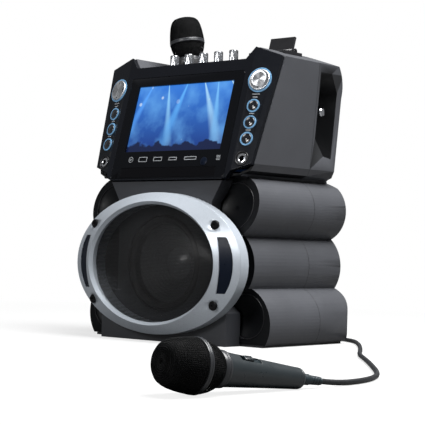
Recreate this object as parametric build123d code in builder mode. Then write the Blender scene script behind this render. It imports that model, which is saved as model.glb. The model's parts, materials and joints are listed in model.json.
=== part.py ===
"""Table-top karaoke machine with a front-loading disc tray.

The cabinet is moulded in a front and a rear shell: three fat lobes down each
side, a narrow neck, and a head whose front leans back.  The head carries a
seven-inch screen between two canted wings of controls, with the disc tray as a
strip under the screen.  A silver oval ring frames the woofer below.  One
microphone stands in a holder on the top deck; a second lies on the floor in
front, with its cord led round to a coil behind the machine.

Millimetres.  X to the machine's right as seen from the front, -Y to the front,
Z up.  The origin is on the floor, on the centre plane.
"""
from build123d import *
from math import asin, atan, cos, hypot, pi, radians, sin, sqrt, tan
import os

os.makedirs("parts", exist_ok=True)

# ---------------------------------------------------------------- dimensions
WALL = 3.0                      # moulded wall
FIT = 0.2                       # gap round a piece that drops into an opening
AIR = 0.3                       # gap between a piece and what it rests on
SEAM_Y = 38.0                   # joint between the front and rear shells

# leaning head front: the bezel sets where the wings fold, and so the head's width
HEAD_FOOT = (-83.0, 194.0)      # (y, z) of the foot of the leaning plane
HEAD_LEAN = 15.6                # degrees back from upright
WING_CANT = 10.5                # degrees each wing turns back
BEZEL_HALF, BEZEL_H = 91.0, 133.0
BEZEL_T, BEZEL_CORNER_R = 2.6, 4.0
BEZEL_GROOVE = 0.5              # dark gap round its sides and top
BEZEL_RIM = 9.0                 # frame between the bezel and the fold
FOLD_X = BEZEL_HALF + BEZEL_RIM  # where the wings fold
FRAME_T = 6.0                   # thickness of the control frame
FRAME_LIP = 1.4                 # its reach below the foot of the leaning plane
SCREEN_HALF, SCREEN_H = 77.0, 86.3
SCREEN_TOP_RIM = 11.4           # bezel above the screen
SCREEN_V1 = BEZEL_H - SCREEN_TOP_RIM
SCREEN_V0 = SCREEN_V1 - SCREEN_H
DISPLAY_MARGIN, DISPLAY_T = 5.0, 5.0
SLOT_HALF, SLOT_V0, SLOT_V1 = 76.0, 1.6, 14.4      # tray mouth in the bezel

# front-view outline of the cabinet, right half: (x, z)
LOBE_FOOT = (138.0, 3.0)
LOBE_LOW_OUT = (145.5, 29.0)
VALLEY_LOW = (119.0, 67.0)
LOBE_MID_OUT = (127.0, 97.0)
VALLEY_HIGH = (112.0, 127.0)
LOBE_TOP_OUT = (133.5, 161.0)
LOBE_TOP_END = (110.0, 196.0)
NECK = (FOLD_X + 12.0, 198.5)
HEAD_HEEL = (FOLD_X + 21.0, 202.0)
HEAD_LOW = (FOLD_X + 24.8, 210.0)
HEAD_TOP = (FOLD_X + 36.4, 337.5)
RIDGE = (FOLD_X, 350.0)
DECK_EDGE = (FOLD_X - 12.0, 336.0)

# side-view outline of the cabinet: (y, z)
LOW_FRONT = [(-57.0, 3.0), (-60.0, 67.0)]
MID_FRONT = [(-66.0, 67.0), (-66.0, 127.0)]
TOP_FRONT = [(-76.0, 127.0), (-61.0, 196.0)]
HEAD_FRONT_Y = -95.0            # cut back to the leaning planes afterwards
BODY_BACK_Y = 103.0
HEAD_BACK_Y = 88.0
HEAD_STEP_Z = 200.0
BACK_TOP = (50.0, 352.0)
BACK_SHOULDER = (79.0, 336.0)
BACK_TURN_Z = 300.0
BACK_CORNER_R = 14.0            # rounding of the rear corners in plan
DEEP = 3 * max(LOBE_LOW_OUT[0], HEAD_TOP[0])       # longer than the cabinet, for cuts right through

# controls on the wings, in wing coordinates (out from the fold, up the lean)
PAD_P, PAD_V, PAD_R = 14.2, 119.9, 13.2
BUTTON_P, BUTTON_V, BUTTON_STEP, BUTTON_R = 12.4, 47.4, 20.3, 6.2
JACK_P, JACK_V = 11.2, 23.7
JACK_BORE_R, JACK_LENGTH, JACK_BODY_R, JACK_NECK_R = 3.25, 30.0, 8.6, 5.5
HALO_W = 1.9                    # width of the light rings
HALO_PROUD = 0.8
KEY_GAP = 0.3                   # round a pad or button
KEY_PROUD, KEY_DEPTH = 2.2, 5.0
PAD_MARK_R = 1.1

# centre column and speaker
COLUMN_Y = -82.0
COLUMN_BACK_Y = -56.0
COLUMN_CUT = 32.0               # depth of the opening behind the column
COLUMN_FOOT_HALF, COLUMN_FOOT_Z = 100.0, 38.0
COLUMN_HALF, COLUMN_TAPER_Z = 74.0, 60.0
COLUMN_FLARE_Z, COLUMN_TOP_HALF, COLUMN_TOP_Z = 166.0, 89.0, 190.8
SPEAKER_Z = 93.0
SPEAKER_HOLE_R = 58.0
RING_OUT = (131.7, 84.0)        # half axes of the ring's outer edge
RING_IN = (100.5, 73.0)         # half axes of its opening
RING_LIP = (97.0, 69.5)         # half axes where the inner bevel ends
RING_EDGE_Y, RING_CREST_Y, RING_LIP_Y = -96.0, -107.5, -103.5
SLIT_IN = [(101.5, 61.0), (106.4, 93.0), (101.5, 125.0)]
SLIT_OUT = [(112.0, 125.0), (122.6, 93.0), (112.0, 61.0)]
RING_SCREW = (96.3, 46.0)       # |x| and height above and below the middle
SCREW_HEAD_R, SCREW_SHANK_R, SCREW_LENGTH = 5.4, 2.0, 15.0
SCREW_POCKET_Y, SCREW_HEAD_T, SCREW_SOCKET_R = -100.0, 3.0, 1.7
WINDOW_BACK, WINDOW_DROP = 1.0, 1.0                # from the ring's back, and below its face
GRILLE_T, GRILLE_EDGE_Y, GRILLE_CREST_Y = 1.6, -98.5, -104.0
CONE_R, CONE_Y, CONE_DEPTH, CONE_T = 47.0, -72.0, 26.0, 1.4
DUST_CAP_R, COIL_FORMER_R = 21.0, 12.5
CAP_H, FORMER_T, FORMER_L = 7.4, 1.0, 14.0
CONE_TRAVEL = 3.0
SURROUND_W, SURROUND_H = 9.0, 4.0
BASKET_FLANGE = 10.0            # flange of the basket outside the surround
BASKET_R = CONE_R + SURROUND_W + BASKET_FLANGE
BASKET_T, BASKET_BACK_Y, BASKET_BACK_R = 3.0, -34.0, 40.0
MAGNET_R, MAGNET_T, MAGNET_POLE_R = 37.0, 16.0, 11.6

# dark dishes in the lobes: (x, z), radius
DISH_TOP, DISH_TOP_R = (96.5, 161.0), 29.5
DISH_LOW, DISH_LOW_R = (111.0, 35.0), 26.5
DISH_RIM_DROP, DISH_DROP, DISH_BACK = 0.8, 7.0, 10.0
DISH_RIM_W = 2.0
DISH_HOLE = 8.0                 # reach of the hole for a dish, each way

# side recess with its strap bar, in the side view: (y, z)
RECESS = [(42.0, 247.0), (42.0, 327.0), (64.0, 327.0), (78.0, 305.0), (78.0, 224.5), (62.0, 227.0)]
RECESS_INSET = 5.0              # depth of the recess inside the fold
RECESS_IN_X = FOLD_X - RECESS_INSET
STUD_YZ = (62.0, 281.0)
STUD_HEAD_R, STUD_HEAD_T, STUD_NECK_R, STUD_REACH = 5.5, 4.0, 3.2, 26.0

# top deck
DECK_T = 3.0
DECK_INSET, DECK_FRONT_Y, DECK_BACK_Y = 2.0, -33.0, 56.0
DECK_HALF = DECK_EDGE[0] - DECK_INSET
KNOB_Y, KNOB_STEP, KNOB_COUNT = -18.0, 24.0, 5
KNOB_R, KNOB_H, KNOB_SHAFT_R, KNOB_SHAFT_L = 6.5, 16.0, 3.0, 9.0
RUNNING = 0.05                  # radial clearance of a running fit
HOLDER_XY, HOLDER_LEAN = (-55.0, 20.0), 10.0
HOLDER_R, HOLDER_BORE_R, HOLDER_TOP, HOLDER_FLOOR = 20.0, 16.5, 14.0, -72.7
DOCK_X, DOCK_Y, DOCK_Z = (57.0, 112.0), (0.0, 34.0), (318.0, 350.0)
DOCK_SLOT_X, DOCK_SLOT_Y, DOCK_SLOT_FLOOR_Z = (61.0, 108.0), (6.0, 20.0), 324.0
REST_X, REST_PIN_Y, REST_PIN_R = (66.0, 103.0), 27.0, 1.6
REST_T, REST_H, REST_LEAN = 3.0, 19.0, 17.0
REST_KNUCKLE_R, REST_PIN_Z, REST_EAR_T = 3.4, 352.2, 4.0

# disc drive
TRAY_HALF, TRAY_Z, TRAY_TOP_Z = 62.0, 198.5, 204.5
TRAY_BACK_Y, DISC_Y, DISC_R, DISC_DROP = 78.0, -14.0, 61.0, 1.5
TRAY_SLOT_HALF, TRAY_DOOR_T, TRAY_DOOR_GAP = 15.0, 3.0, 0.4
GEAR_MODULE, GEAR_TEETH, GEAR_Y = 1.25, 14, -58.0
GEAR_SHAFT_R, FLANK_STEPS = 2.0, 4
BACKLASH = 0.12
CHASSIS_Z, CHASSIS_T, CHASSIS_TOP_Z = 191.2, 3.0, 214.0
CHASSIS_X = (-70.0, 88.0)
CHASSIS_Y = (-72.0, 82.0)
CHASSIS_WALL_Y, CHASSIS_WALL_L = 20.0, 100.0
DRIVE_BAY_L = 40.0              # depth of the opening for the drive in the front shell
HUB_R = 7.3
LENS_R, LENS_H = 3.5, 0.6
LEDGE_IN, LEDGE_OUT = 50.0, 58.0
SPINDLE_R, SPINDLE_TOP_Z, SPINDLE_SHAFT_R = 12.0, 206.5, 1.5
SLED_HALF, SLED_Y, SLED_TRAVEL = 12.0, (12.0, 30.0), 30.0
SLED_Z = (195.3, 202.0)
RAIL_X, RAIL_R, RAIL_Z, RAIL_Y = 8.0, 1.2, 197.6, (6.0, 66.0)

# electronics, base and rear
BOARD_T = 1.6
SUPPLY_X, SUPPLY_Y, SUPPLY_H = (-95.0, -35.0), (5.0, 85.0), 40.0
AMP_X, AMP_Y = (-20.0, 80.0), (10.0, 80.0)
STANDOFF_H = 6.0
FIN_COUNT, FIN_STEP, FIN_T, FIN_L, FIN_H = 8, 6.0, 1.5, 40.0, 24.0
MAIN_CHIPS = [(-30.0, 10.0, 28.0, 28.0, 3.0), (20.0, 30.0, 14.0, 24.0, 2.0), (55.0, -5.0, 20.0, 14.0, 9.0)]
BASE_INSET, BASE_BACK_Y, BASE_T = 4.0, 97.0, 2.7
BASE_HALF = LOBE_FOOT[0] - BASE_INSET
FOOT_R, FOOT_X, FOOT_Y = 9.0, 88.0, (-33.0, 77.0)
PANEL_HALF, PANEL_Z = 78.0, (34.0, 150.0)
INLET_X, ROCKER_X, MAINS_Z = -52.0, -20.0, 58.0
INLET_W, INLET_H, INLET_DEPTH = 22.0, 12.0, 18.0
ROCKER_W, ROCKER_H, ROCKER_DEPTH = 13.0, 19.0, 12.0
ROCKER_GAP = 0.5
RCA_X, RCA_STEP, RCA_COUNT, RCA_R, RCA_PROUD = 14.0, 18.0, 4, 4.2, 7.0
RCA_Z, RCA_DEPTH = 120.0, 10.0

# microphone profile: distance from the tip of the head, radius
MIC_HEAD = [(0.0, 0.0), (0.0, 12.0), (1.5, 15.5), (4.5, 17.6), (10.0, 19.3), (22.0, 21.3), (30.0, 22.0)]
MIC_BAND = (30.0, 34.0, 22.3)
MIC_TAPER = [(34.0, 21.6), (46.0, 18.2), (52.0, 14.8)]
MIC_BODY = [(52.0, 14.8), (58.0, 14.8), (60.0, 13.9), (100.0, 11.4), (140.0, 8.8), (143.0, 7.6), (143.0, 0.0)]
MIC_SWITCH_S, MIC_SWITCH_L, MIC_SWITCH_W = (72.0, 94.0), 9.0, 6.0
MIC_SWITCH_BED_R, MIC_SWITCH_TOP_R, MIC_SWITCH_TRAVEL = 9.5, 13.8, 5.0
TOP_MIC_BAND_Z = 374.0
FLOOR_MIC_TIP = (412.0, -529.0)
FLOOR_MIC_YAW = 80.0            # degrees from +X, from the head to the tail
MIC_ROLL = 30.0                 # degrees the switch side turns off the top
FLOOR_AIR = 0.1                 # between the floor and what lies on it
RELIEF_L, RELIEF_R0, RELIEF_R1 = 24.0, 4.6, 3.4

# microphone cord
CORD_R = 2.5
CORD_FLOOR_Z = 2.6
COIL_CENTRE = (-16.0, 196.0)
COIL_APPROACH = 36.0
TAIL_RUN = 18.0
PLUG_PLACE, PLUG_WAY = (-78.0, 158.0), (-0.94, 0.34)
TIE_SLACK = 0.6
COIL_OUT_R, COIL_TURNS, COIL_PITCH = 44.0, 5, 5.6
COIL_Z = 3.9
COIL_LAYER = 5.6
TIE_T, TIE_W = 1.0, 8.0
PLUG_R, PLUG_L, PLUG_PIN_R, PLUG_PIN_L = 6.5, 38.0, 3.15, 30.0
CORD_ROUTE = [
    (443.0, -305.0), (430.0, -268.0), (407.0, -231.0), (366.0, -178.0), (318.0, -118.0),
    (272.0, -64.0), (240.0, -15.0), (207.0, 33.0),
    (172.0, 80.0), (139.0, 119.0), (102.0, 138.0), (62.0, 148.5),
]


def keep(builder, label):
    """Label a finished piece and write it."""
    builder.part.label = label
    export_step(builder.part, f"parts/{label}.step")


# ---------------------------------------------------------- shared geometry
LEAN = radians(HEAD_LEAN)
CANT = radians(WING_CANT)
HEAD_NORMAL = Vector(0, -cos(LEAN), sin(LEAN))
HEAD_UP = Vector(0, sin(LEAN), cos(LEAN))
HEAD_PLANE = Plane(origin=(0, HEAD_FOOT[0], HEAD_FOOT[1]), x_dir=(1, 0, 0), z_dir=HEAD_NORMAL)


def wing_plane(side):
    """Face of one wing: x to the machine's right, y up the lean, z out of the face."""
    origin = HEAD_PLANE.origin + Vector(side * FOLD_X, 0, 0)
    out = Vector(cos(CANT), 0, 0) - HEAD_NORMAL * (side * sin(CANT))
    normal = HEAD_NORMAL * cos(CANT) + Vector(side * sin(CANT), 0, 0)
    return Plane(origin=origin, x_dir=out, z_dir=normal)


def wing_uv(x, z):
    """Wing coordinates of a corner given by its front view."""
    p = (x - FOLD_X) / cos(CANT)
    depth = p * sin(CANT)
    v = (z - HEAD_FOOT[1] + depth * sin(LEAN)) / cos(LEAN)
    return (p, v)


def mirror_x(points):
    return [(-x, z) for x, z in reversed(points)]


def half_outline():
    """Right half of the cabinet's front view, on the centre line at both ends."""
    Line((0, LOBE_FOOT[1]), LOBE_FOOT)
    ThreePointArc(LOBE_FOOT, LOBE_LOW_OUT, VALLEY_LOW)
    ThreePointArc(VALLEY_LOW, LOBE_MID_OUT, VALLEY_HIGH)
    ThreePointArc(VALLEY_HIGH, LOBE_TOP_OUT, LOBE_TOP_END)
    Polyline(LOBE_TOP_END, NECK, HEAD_HEEL, HEAD_LOW, HEAD_TOP, RIDGE, DECK_EDGE, (0, DECK_EDGE[1]))


def front_outline(inset=0.0):
    """Cabinet's front view as a face on the plane y = 0."""
    with BuildSketch(Plane.XZ) as face:
        with BuildLine():
            half_outline()
            mirror(about=Plane.YZ)
        make_face()
        if inset:
            offset(amount=-inset)
    return face.sketch


def side_outline(inset=0.0):
    """Cabinet's side view as a face on the plane x = 0."""
    with BuildSketch(Plane.YZ) as face:
        with BuildLine():
            Polyline(
                *LOW_FRONT, *MID_FRONT, *TOP_FRONT,
                (HEAD_FRONT_Y, TOP_FRONT[1][1]), (HEAD_FRONT_Y, BACK_TOP[1]), BACK_TOP,
            )
            ThreePointArc(BACK_TOP, BACK_SHOULDER, (HEAD_BACK_Y, BACK_TURN_Z))
            Polyline(
                (HEAD_BACK_Y, BACK_TURN_Z), (HEAD_BACK_Y, HEAD_STEP_Z),
                (BODY_BACK_Y, TOP_FRONT[1][1] - 6), (BODY_BACK_Y, LOW_FRONT[0][1]), LOW_FRONT[0],
            )
        make_face()
        if inset:
            offset(amount=-inset)
    return face.sketch


def recess_outline(x, grow=0.0):
    with BuildSketch(Plane.YZ.offset(x)) as face:
        with BuildLine():
            Polyline(*RECESS, close=True)
        make_face()
        if grow:
            offset(amount=grow)
    return face.sketch


def column_outline(y, grow=0.0):
    half = [
        (COLUMN_FOOT_HALF, 0.0), (COLUMN_FOOT_HALF, COLUMN_FOOT_Z), (COLUMN_HALF, COLUMN_TAPER_Z),
        (COLUMN_HALF, COLUMN_FLARE_Z), (COLUMN_TOP_HALF, COLUMN_TOP_Z),
    ]
    with BuildSketch(Plane.XZ.offset(-y)) as face:
        with BuildLine():
            Polyline(*half, *mirror_x(half), close=True)
        make_face()
        if grow:
            offset(amount=grow)
    return face.sketch


def ellipse_face(y, half_axes):
    """Upright ellipse about the speaker's axis."""
    with BuildSketch(Plane.XZ.offset(-y)) as face:
        with Locations((0, SPEAKER_Z)):
            Ellipse(*half_axes)
    return face.sketch


def front_disc(y, centre, radius):
    """Upright disc that faces the front."""
    with BuildSketch(Plane.XZ.offset(-y)) as face:
        with Locations(centre):
            Circle(radius)
    return face.sketch


def cap_arc(radius, rise):
    """Middle of a dome's arc and its height there: (from the apex along the axis, out)."""
    ball = (radius ** 2 + rise ** 2) / (2 * rise)
    half = asin(radius / ball) / 2
    return (ball * (1 - cos(half)), ball * sin(half))


def dish_plane(side, centre, front):
    """Plane of a lobe's front face at the centre of its dish; z points out of the face."""
    (y0, z0), (y1, z1) = front
    y = y0 + (centre[1] - z0) * (y1 - y0) / (z1 - z0)
    run = hypot(y1 - y0, z1 - z0)
    normal = Vector(0, -(z1 - z0) / run, (y1 - y0) / run)
    return Plane(origin=(side * centre[0], y, centre[1]), x_dir=(1, 0, 0), z_dir=normal)


SIDES = {"left": -1, "right": 1}
DISHES = [(DISH_TOP, DISH_TOP_R, TOP_FRONT), (DISH_LOW, DISH_LOW_R, LOW_FRONT)]

# ------------------------------------------------------------ cabinet shells
with BuildPart() as hollow:
    extrude(front_outline(WALL), amount=DEEP / 2, both=True)
    extrude(side_outline(WALL), amount=DEEP / 2, both=True, mode=Mode.INTERSECT)
    for side in SIDES.values():
        extrude(
            recess_outline(side * (RECESS_IN_X - WALL), WALL), amount=side * DEEP / 2, mode=Mode.SUBTRACT
        )

with BuildPart() as cabinet:
    extrude(front_outline(), amount=DEEP / 2, both=True)
    extrude(side_outline(), amount=DEEP / 2, both=True, mode=Mode.INTERSECT)
    with BuildSketch(Plane.XY) as plan:
        with Locations((0, BODY_BACK_Y - DEEP / 2)):
            Rectangle(2 * max(LOBE_LOW_OUT[0], HEAD_TOP[0]) + 1, DEEP)
        fillet(plan.vertices().group_by(Axis.Y)[-1], BACK_CORNER_R)
    extrude(amount=DEEP, mode=Mode.INTERSECT)
    add(hollow.part, mode=Mode.SUBTRACT)
    for side in SIDES.values():
        extrude(recess_outline(side * RECESS_IN_X), amount=side * DEEP / 2, mode=Mode.SUBTRACT)
        split(bisect_by=wing_plane(side).offset(-FRAME_T - FIT), keep=Keep.BOTTOM)
    split(bisect_by=HEAD_PLANE.offset(-FRAME_T - FIT), keep=Keep.BOTTOM)

with BuildPart() as front_cabinet:
    add(cabinet.part)
    split(bisect_by=Plane.XZ.offset(-SEAM_Y), keep=Keep.TOP)
    extrude(column_outline(COLUMN_Y, FIT), amount=-COLUMN_CUT, mode=Mode.SUBTRACT)
    for centre, radius, front in DISHES:
        for side in SIDES.values():
            with BuildSketch(dish_plane(side, centre, front)):
                Circle(radius)
            extrude(amount=DISH_HOLE, both=True, mode=Mode.SUBTRACT)
    with BuildSketch(Plane.XY.offset(DECK_EDGE[1] - 2 * DECK_T)):
        with Locations((0, (DECK_FRONT_Y + DEEP) / 2)):
            Rectangle(2 * DECK_HALF + 2 * FIT, DEEP - DECK_FRONT_Y + 2 * FIT)
    extrude(amount=4 * DECK_T, mode=Mode.SUBTRACT)
    with Locations((sum(CHASSIS_X) / 2, HEAD_FRONT_Y, CHASSIS_Z - FIT)):
        Box(
            CHASSIS_X[1] - CHASSIS_X[0] + 4 * AIR, DRIVE_BAY_L, CHASSIS_TOP_Z - CHASSIS_Z,
            align=(Align.CENTER, Align.MIN, Align.MIN), mode=Mode.SUBTRACT,
        )
    with Locations(((DOCK_X[0] + DOCK_X[1]) / 2, (DOCK_Y[0] + DOCK_Y[1]) / 2, DOCK_Z[0] - FIT)):
        Box(
            DOCK_X[1] - DOCK_X[0] + 2 * FIT, DOCK_Y[1] - DOCK_Y[0] + 2 * FIT, DEEP,
            align=(Align.CENTER, Align.CENTER, Align.MIN), mode=Mode.SUBTRACT,
        )
keep(front_cabinet, "front_cabinet")

with BuildPart() as rear_cabinet:
    add(cabinet.part)
    split(bisect_by=Plane.XZ.offset(-SEAM_Y), keep=Keep.BOTTOM)
    with Locations((0, SEAM_Y, DECK_EDGE[1] - 2 * DECK_T)):
        Box(
            2 * DECK_HALF + 2 * FIT, 2 * (DECK_BACK_Y - SEAM_Y + FIT), 4 * DECK_T,
            align=(Align.CENTER, Align.CENTER, Align.MIN), mode=Mode.SUBTRACT,
        )
    with BuildSketch(Plane.XZ.offset(-BODY_BACK_Y)):
        with Locations((0, sum(PANEL_Z) / 2)):
            Rectangle(2 * PANEL_HALF + 2 * FIT, PANEL_Z[1] - PANEL_Z[0] + 2 * FIT)
    extrude(amount=2 * WALL, mode=Mode.SUBTRACT)
keep(rear_cabinet, "rear_cabinet")


# ------------------------------------------------- centre column, base, rear
with BuildPart() as front_panel:
    extrude(column_outline(COLUMN_BACK_Y), amount=COLUMN_BACK_Y - COLUMN_Y)
    extrude(column_outline(COLUMN_BACK_Y, -WALL), amount=COLUMN_BACK_Y - COLUMN_Y - WALL, mode=Mode.SUBTRACT)
    extrude(
        front_disc(COLUMN_BACK_Y, (0, SPEAKER_Z), SPEAKER_HOLE_R), amount=COLUMN_BACK_Y - COLUMN_Y,
        mode=Mode.SUBTRACT,
    )
keep(front_panel, "front_panel")

foot_places = [(x, y) for x in (-FOOT_X, FOOT_X) for y in FOOT_Y]
with BuildPart() as base_plate:
    with BuildSketch():
        with Locations((0, (COLUMN_BACK_Y + FIT + BASE_BACK_Y) / 2)):
            Rectangle(2 * BASE_HALF, BASE_BACK_Y - COLUMN_BACK_Y - FIT)
    extrude(amount=BASE_T)
    with BuildSketch():
        with Locations(*foot_places):
            Circle(FOOT_R + FIT)
    extrude(amount=BASE_T, mode=Mode.SUBTRACT)
keep(base_plate, "base_plate")

with BuildPart() as rubber_feet:
    with BuildSketch():
        with Locations(*foot_places):
            Circle(FOOT_R)
    extrude(amount=BASE_T)
keep(rubber_feet, "rubber_feet")

rca_places = [(RCA_X + i * RCA_STEP, RCA_Z) for i in range(RCA_COUNT)]
with BuildPart() as rear_panel:
    with BuildSketch(Plane.XZ.offset(-BODY_BACK_Y)):
        with Locations((0, sum(PANEL_Z) / 2)):
            Rectangle(2 * PANEL_HALF, PANEL_Z[1] - PANEL_Z[0])
        with Locations((INLET_X, MAINS_Z)):
            Rectangle(INLET_W + 2 * FIT, INLET_H + 2 * FIT, mode=Mode.SUBTRACT)
        with Locations((ROCKER_X, MAINS_Z)):
            Rectangle(ROCKER_W + 2 * ROCKER_GAP, ROCKER_H + 2 * ROCKER_GAP, mode=Mode.SUBTRACT)
        with Locations(*rca_places):
            Circle(RCA_R + FIT, mode=Mode.SUBTRACT)
    extrude(amount=WALL)
    for side in SIDES.values():
        ear = Plane.YZ.offset(ROCKER_X + side * (ROCKER_W / 2 + ROCKER_GAP + WALL / 2))
        with BuildSketch(ear):
            with Locations((BODY_BACK_Y - WALL - ROCKER_DEPTH / 2 + 1, MAINS_Z)):
                Rectangle(ROCKER_DEPTH, ROCKER_H)
        extrude(amount=WALL / 2, both=True)
    with Locations(Plane.YZ * Pos(BODY_BACK_Y - WALL, MAINS_Z, ROCKER_X)):
        Cylinder(REST_PIN_R + RUNNING, ROCKER_W + 4 * WALL, mode=Mode.SUBTRACT)
keep(rear_panel, "rear_panel")

with BuildPart() as power_rocker:
    with BuildSketch(Plane.YZ.offset(ROCKER_X)):
        with Locations((BODY_BACK_Y - WALL, MAINS_Z)):
            Circle(ROCKER_H / 2 - ROCKER_GAP / 2)
            with Locations((-ROCKER_H / 2, 0)):
                Rectangle(ROCKER_H, 2 * ROCKER_H, align=(Align.CENTER, Align.CENTER), mode=Mode.SUBTRACT)
            Circle(REST_PIN_R + WALL)
    extrude(amount=ROCKER_W / 2, both=True)
    with Locations(Plane.YZ * Pos(BODY_BACK_Y - WALL, MAINS_Z, ROCKER_X)):
        Cylinder(REST_PIN_R, ROCKER_W + 2 * ROCKER_GAP + 2 * WALL - 1)
keep(power_rocker, "power_rocker")

with BuildPart() as power_inlet:
    with BuildSketch(Plane.XZ.offset(-BODY_BACK_Y - 1)):
        with Locations((INLET_X, MAINS_Z)):
            Rectangle(INLET_W, INLET_H)
    extrude(amount=INLET_DEPTH)
    with BuildSketch(Plane.XZ.offset(-BODY_BACK_Y - 1)):
        with Locations((INLET_X, MAINS_Z)):
            SlotOverall(INLET_W - 2 * WALL, INLET_H - 2 * WALL / 2 - 1)
    extrude(amount=INLET_DEPTH - WALL, mode=Mode.SUBTRACT)
    with BuildSketch(Plane.XZ.offset(-BODY_BACK_Y + WALL)):
        with Locations((INLET_X, MAINS_Z)):
            with GridLocations(8, 1, 2, 1):
                Circle(1.1)
    extrude(amount=INLET_DEPTH - 2 * WALL)
keep(power_inlet, "power_inlet")

with BuildPart() as rca_sockets:
    for place in rca_places:
        extrude(
            front_disc(BODY_BACK_Y - WALL - RCA_DEPTH, place, RCA_R),
            amount=-(WALL + RCA_DEPTH + RCA_PROUD),
        )
        extrude(front_disc(BODY_BACK_Y - 2, place, 1.7), amount=-(2 + RCA_PROUD), mode=Mode.SUBTRACT)
keep(rca_sockets, "rca_sockets")

# ------------------------------------------------------------- control frame
frame_wing = [wing_uv(*HEAD_LOW), wing_uv(*HEAD_TOP), wing_uv(*RIDGE)]
fold_top_v = frame_wing[2][1]
fold_low_v = frame_wing[0][1] - 9.0


def head_face(points, plane=HEAD_PLANE):
    with BuildSketch(plane) as face:
        with BuildLine():
            Polyline(*points, close=True)
        make_face()
    return face.sketch


def head_rect(half, low, high, radius=0.0):
    """Rectangle on the leaning plane, with round corners where a radius is given."""
    with BuildSketch(HEAD_PLANE) as face:
        with Locations((0, (low + high) / 2)):
            Rectangle(2 * half, high - low)
        if radius:
            fillet(face.vertices(), radius)
    return face.sketch


deck_v = (DECK_EDGE[1] - HEAD_FOOT[1]) / cos(LEAN)
control_places = [(PAD_P, PAD_V, PAD_R)] + [
    (BUTTON_P, BUTTON_V + i * BUTTON_STEP, BUTTON_R) for i in range(3)
]

with BuildPart() as control_frame:
    right_edge = [
        (BEZEL_HALF - 5, -FRAME_LIP), (BEZEL_HALF + 4, 0.5), (FOLD_X, fold_low_v),
        (FOLD_X, fold_top_v), (DECK_EDGE[0], deck_v),
    ]
    extrude(head_face(right_edge + mirror_x(right_edge)), amount=-FRAME_T)
    for side in SIDES.values():
        plane = wing_plane(side)
        outline = [(0, fold_low_v), *[(side * u, v) for u, v in frame_wing[:2]], (0, fold_top_v)]
        extrude(head_face(outline, plane), amount=-FRAME_T)
        for p, v, radius in control_places:
            with BuildSketch(plane):
                with Locations((side * p, v)):
                    Circle(radius + KEY_GAP + HALO_W)
            extrude(amount=-FRAME_T * 3, mode=Mode.SUBTRACT)
        with BuildSketch(plane):
            with Locations((side * JACK_P, JACK_V)):
                Circle(JACK_BODY_R + FIT)
        extrude(amount=-FRAME_T * 3, mode=Mode.SUBTRACT)
    opening = head_rect(BEZEL_HALF + BEZEL_GROOVE, 0, BEZEL_H, BEZEL_CORNER_R + BEZEL_GROOVE)
    extrude(opening, amount=-FRAME_T * 3, mode=Mode.SUBTRACT)
keep(control_frame, "control_frame")

with BuildPart() as screen_bezel:
    extrude(head_rect(BEZEL_HALF, FIT, BEZEL_H - BEZEL_GROOVE, BEZEL_CORNER_R), amount=-BEZEL_T)
    extrude(head_rect(SCREEN_HALF, SCREEN_V0, SCREEN_V1), amount=-BEZEL_T, mode=Mode.SUBTRACT)
    extrude(head_rect(SLOT_HALF, SLOT_V0, SLOT_V1), amount=-BEZEL_T, mode=Mode.SUBTRACT)
keep(screen_bezel, "screen_bezel")

with BuildPart() as display_panel:
    with BuildSketch(HEAD_PLANE.offset(-BEZEL_T)):
        with Locations((0, (SCREEN_V0 + SCREEN_V1) / 2)):
            Rectangle(2 * (SCREEN_HALF + DISPLAY_MARGIN), SCREEN_V1 - SCREEN_V0 + 2 * DISPLAY_MARGIN)
    extrude(amount=-DISPLAY_T)
keep(display_panel, "display_panel")

with BuildPart() as control_halos:
    for side in SIDES.values():
        for p, v, radius in control_places:
            with BuildSketch(wing_plane(side).offset(HALO_PROUD)):
                with Locations((side * p, v)):
                    Circle(radius + KEY_GAP + HALO_W - FIT)
                    Circle(radius + KEY_GAP, mode=Mode.SUBTRACT)
            extrude(amount=-FRAME_T - HALO_PROUD + 1)
keep(control_halos, "control_halos")


def key(side, p, v, radius, edge):
    """Round push key with an eased front edge."""
    plane = wing_plane(side)
    with BuildPart() as made:
        with BuildSketch(plane.offset(KEY_PROUD)):
            with Locations((side * p, v)):
                Circle(radius)
        extrude(amount=-KEY_PROUD - KEY_DEPTH)
        front = made.faces().sort_by(Axis(plane.origin, plane.z_dir))[-1]
        chamfer(front.edges(), edge)
    return made


for side_name, side in SIDES.items():
    pad = key(side, PAD_P, PAD_V, PAD_R, 1.2)
    keep(pad, f"pad_{side_name}")
    for i in range(3):
        button = key(side, BUTTON_P, BUTTON_V + i * BUTTON_STEP, BUTTON_R, 0.8)
        keep(button, f"button_{side_name}_{i + 1}")

with BuildPart() as mic_jacks:
    for side in SIDES.values():
        plane = wing_plane(side)
        for radius, reach in ((JACK_BODY_R, FRAME_T), (JACK_NECK_R, JACK_LENGTH)):
            with BuildSketch(plane.offset(HALO_PROUD)):
                with Locations((side * JACK_P, JACK_V)):
                    Circle(radius)
            extrude(amount=-reach)
        with BuildSketch(plane.offset(HALO_PROUD)):
            with Locations((side * JACK_P, JACK_V)):
                Circle(JACK_BORE_R)
        extrude(amount=-JACK_LENGTH, mode=Mode.SUBTRACT)
keep(mic_jacks, "mic_jacks")

# ---------------------------------------------------------- ring and speaker
def slit_outline(y, shrink=0.0):
    with BuildSketch(Plane.XZ.offset(-y)) as face:
        with BuildLine():
            ThreePointArc(*SLIT_IN)
            Line(SLIT_IN[2], SLIT_OUT[0])
            ThreePointArc(*SLIT_OUT)
            Line(SLIT_OUT[2], SLIT_IN[0])
        make_face()
        if shrink:
            offset(amount=-shrink)
    return face.sketch


def slit_pair(y, shrink=0.0):
    """Slits on both sides of the ring."""
    slit = slit_outline(y, shrink)
    return slit + slit.mirror(Plane.YZ)


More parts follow.
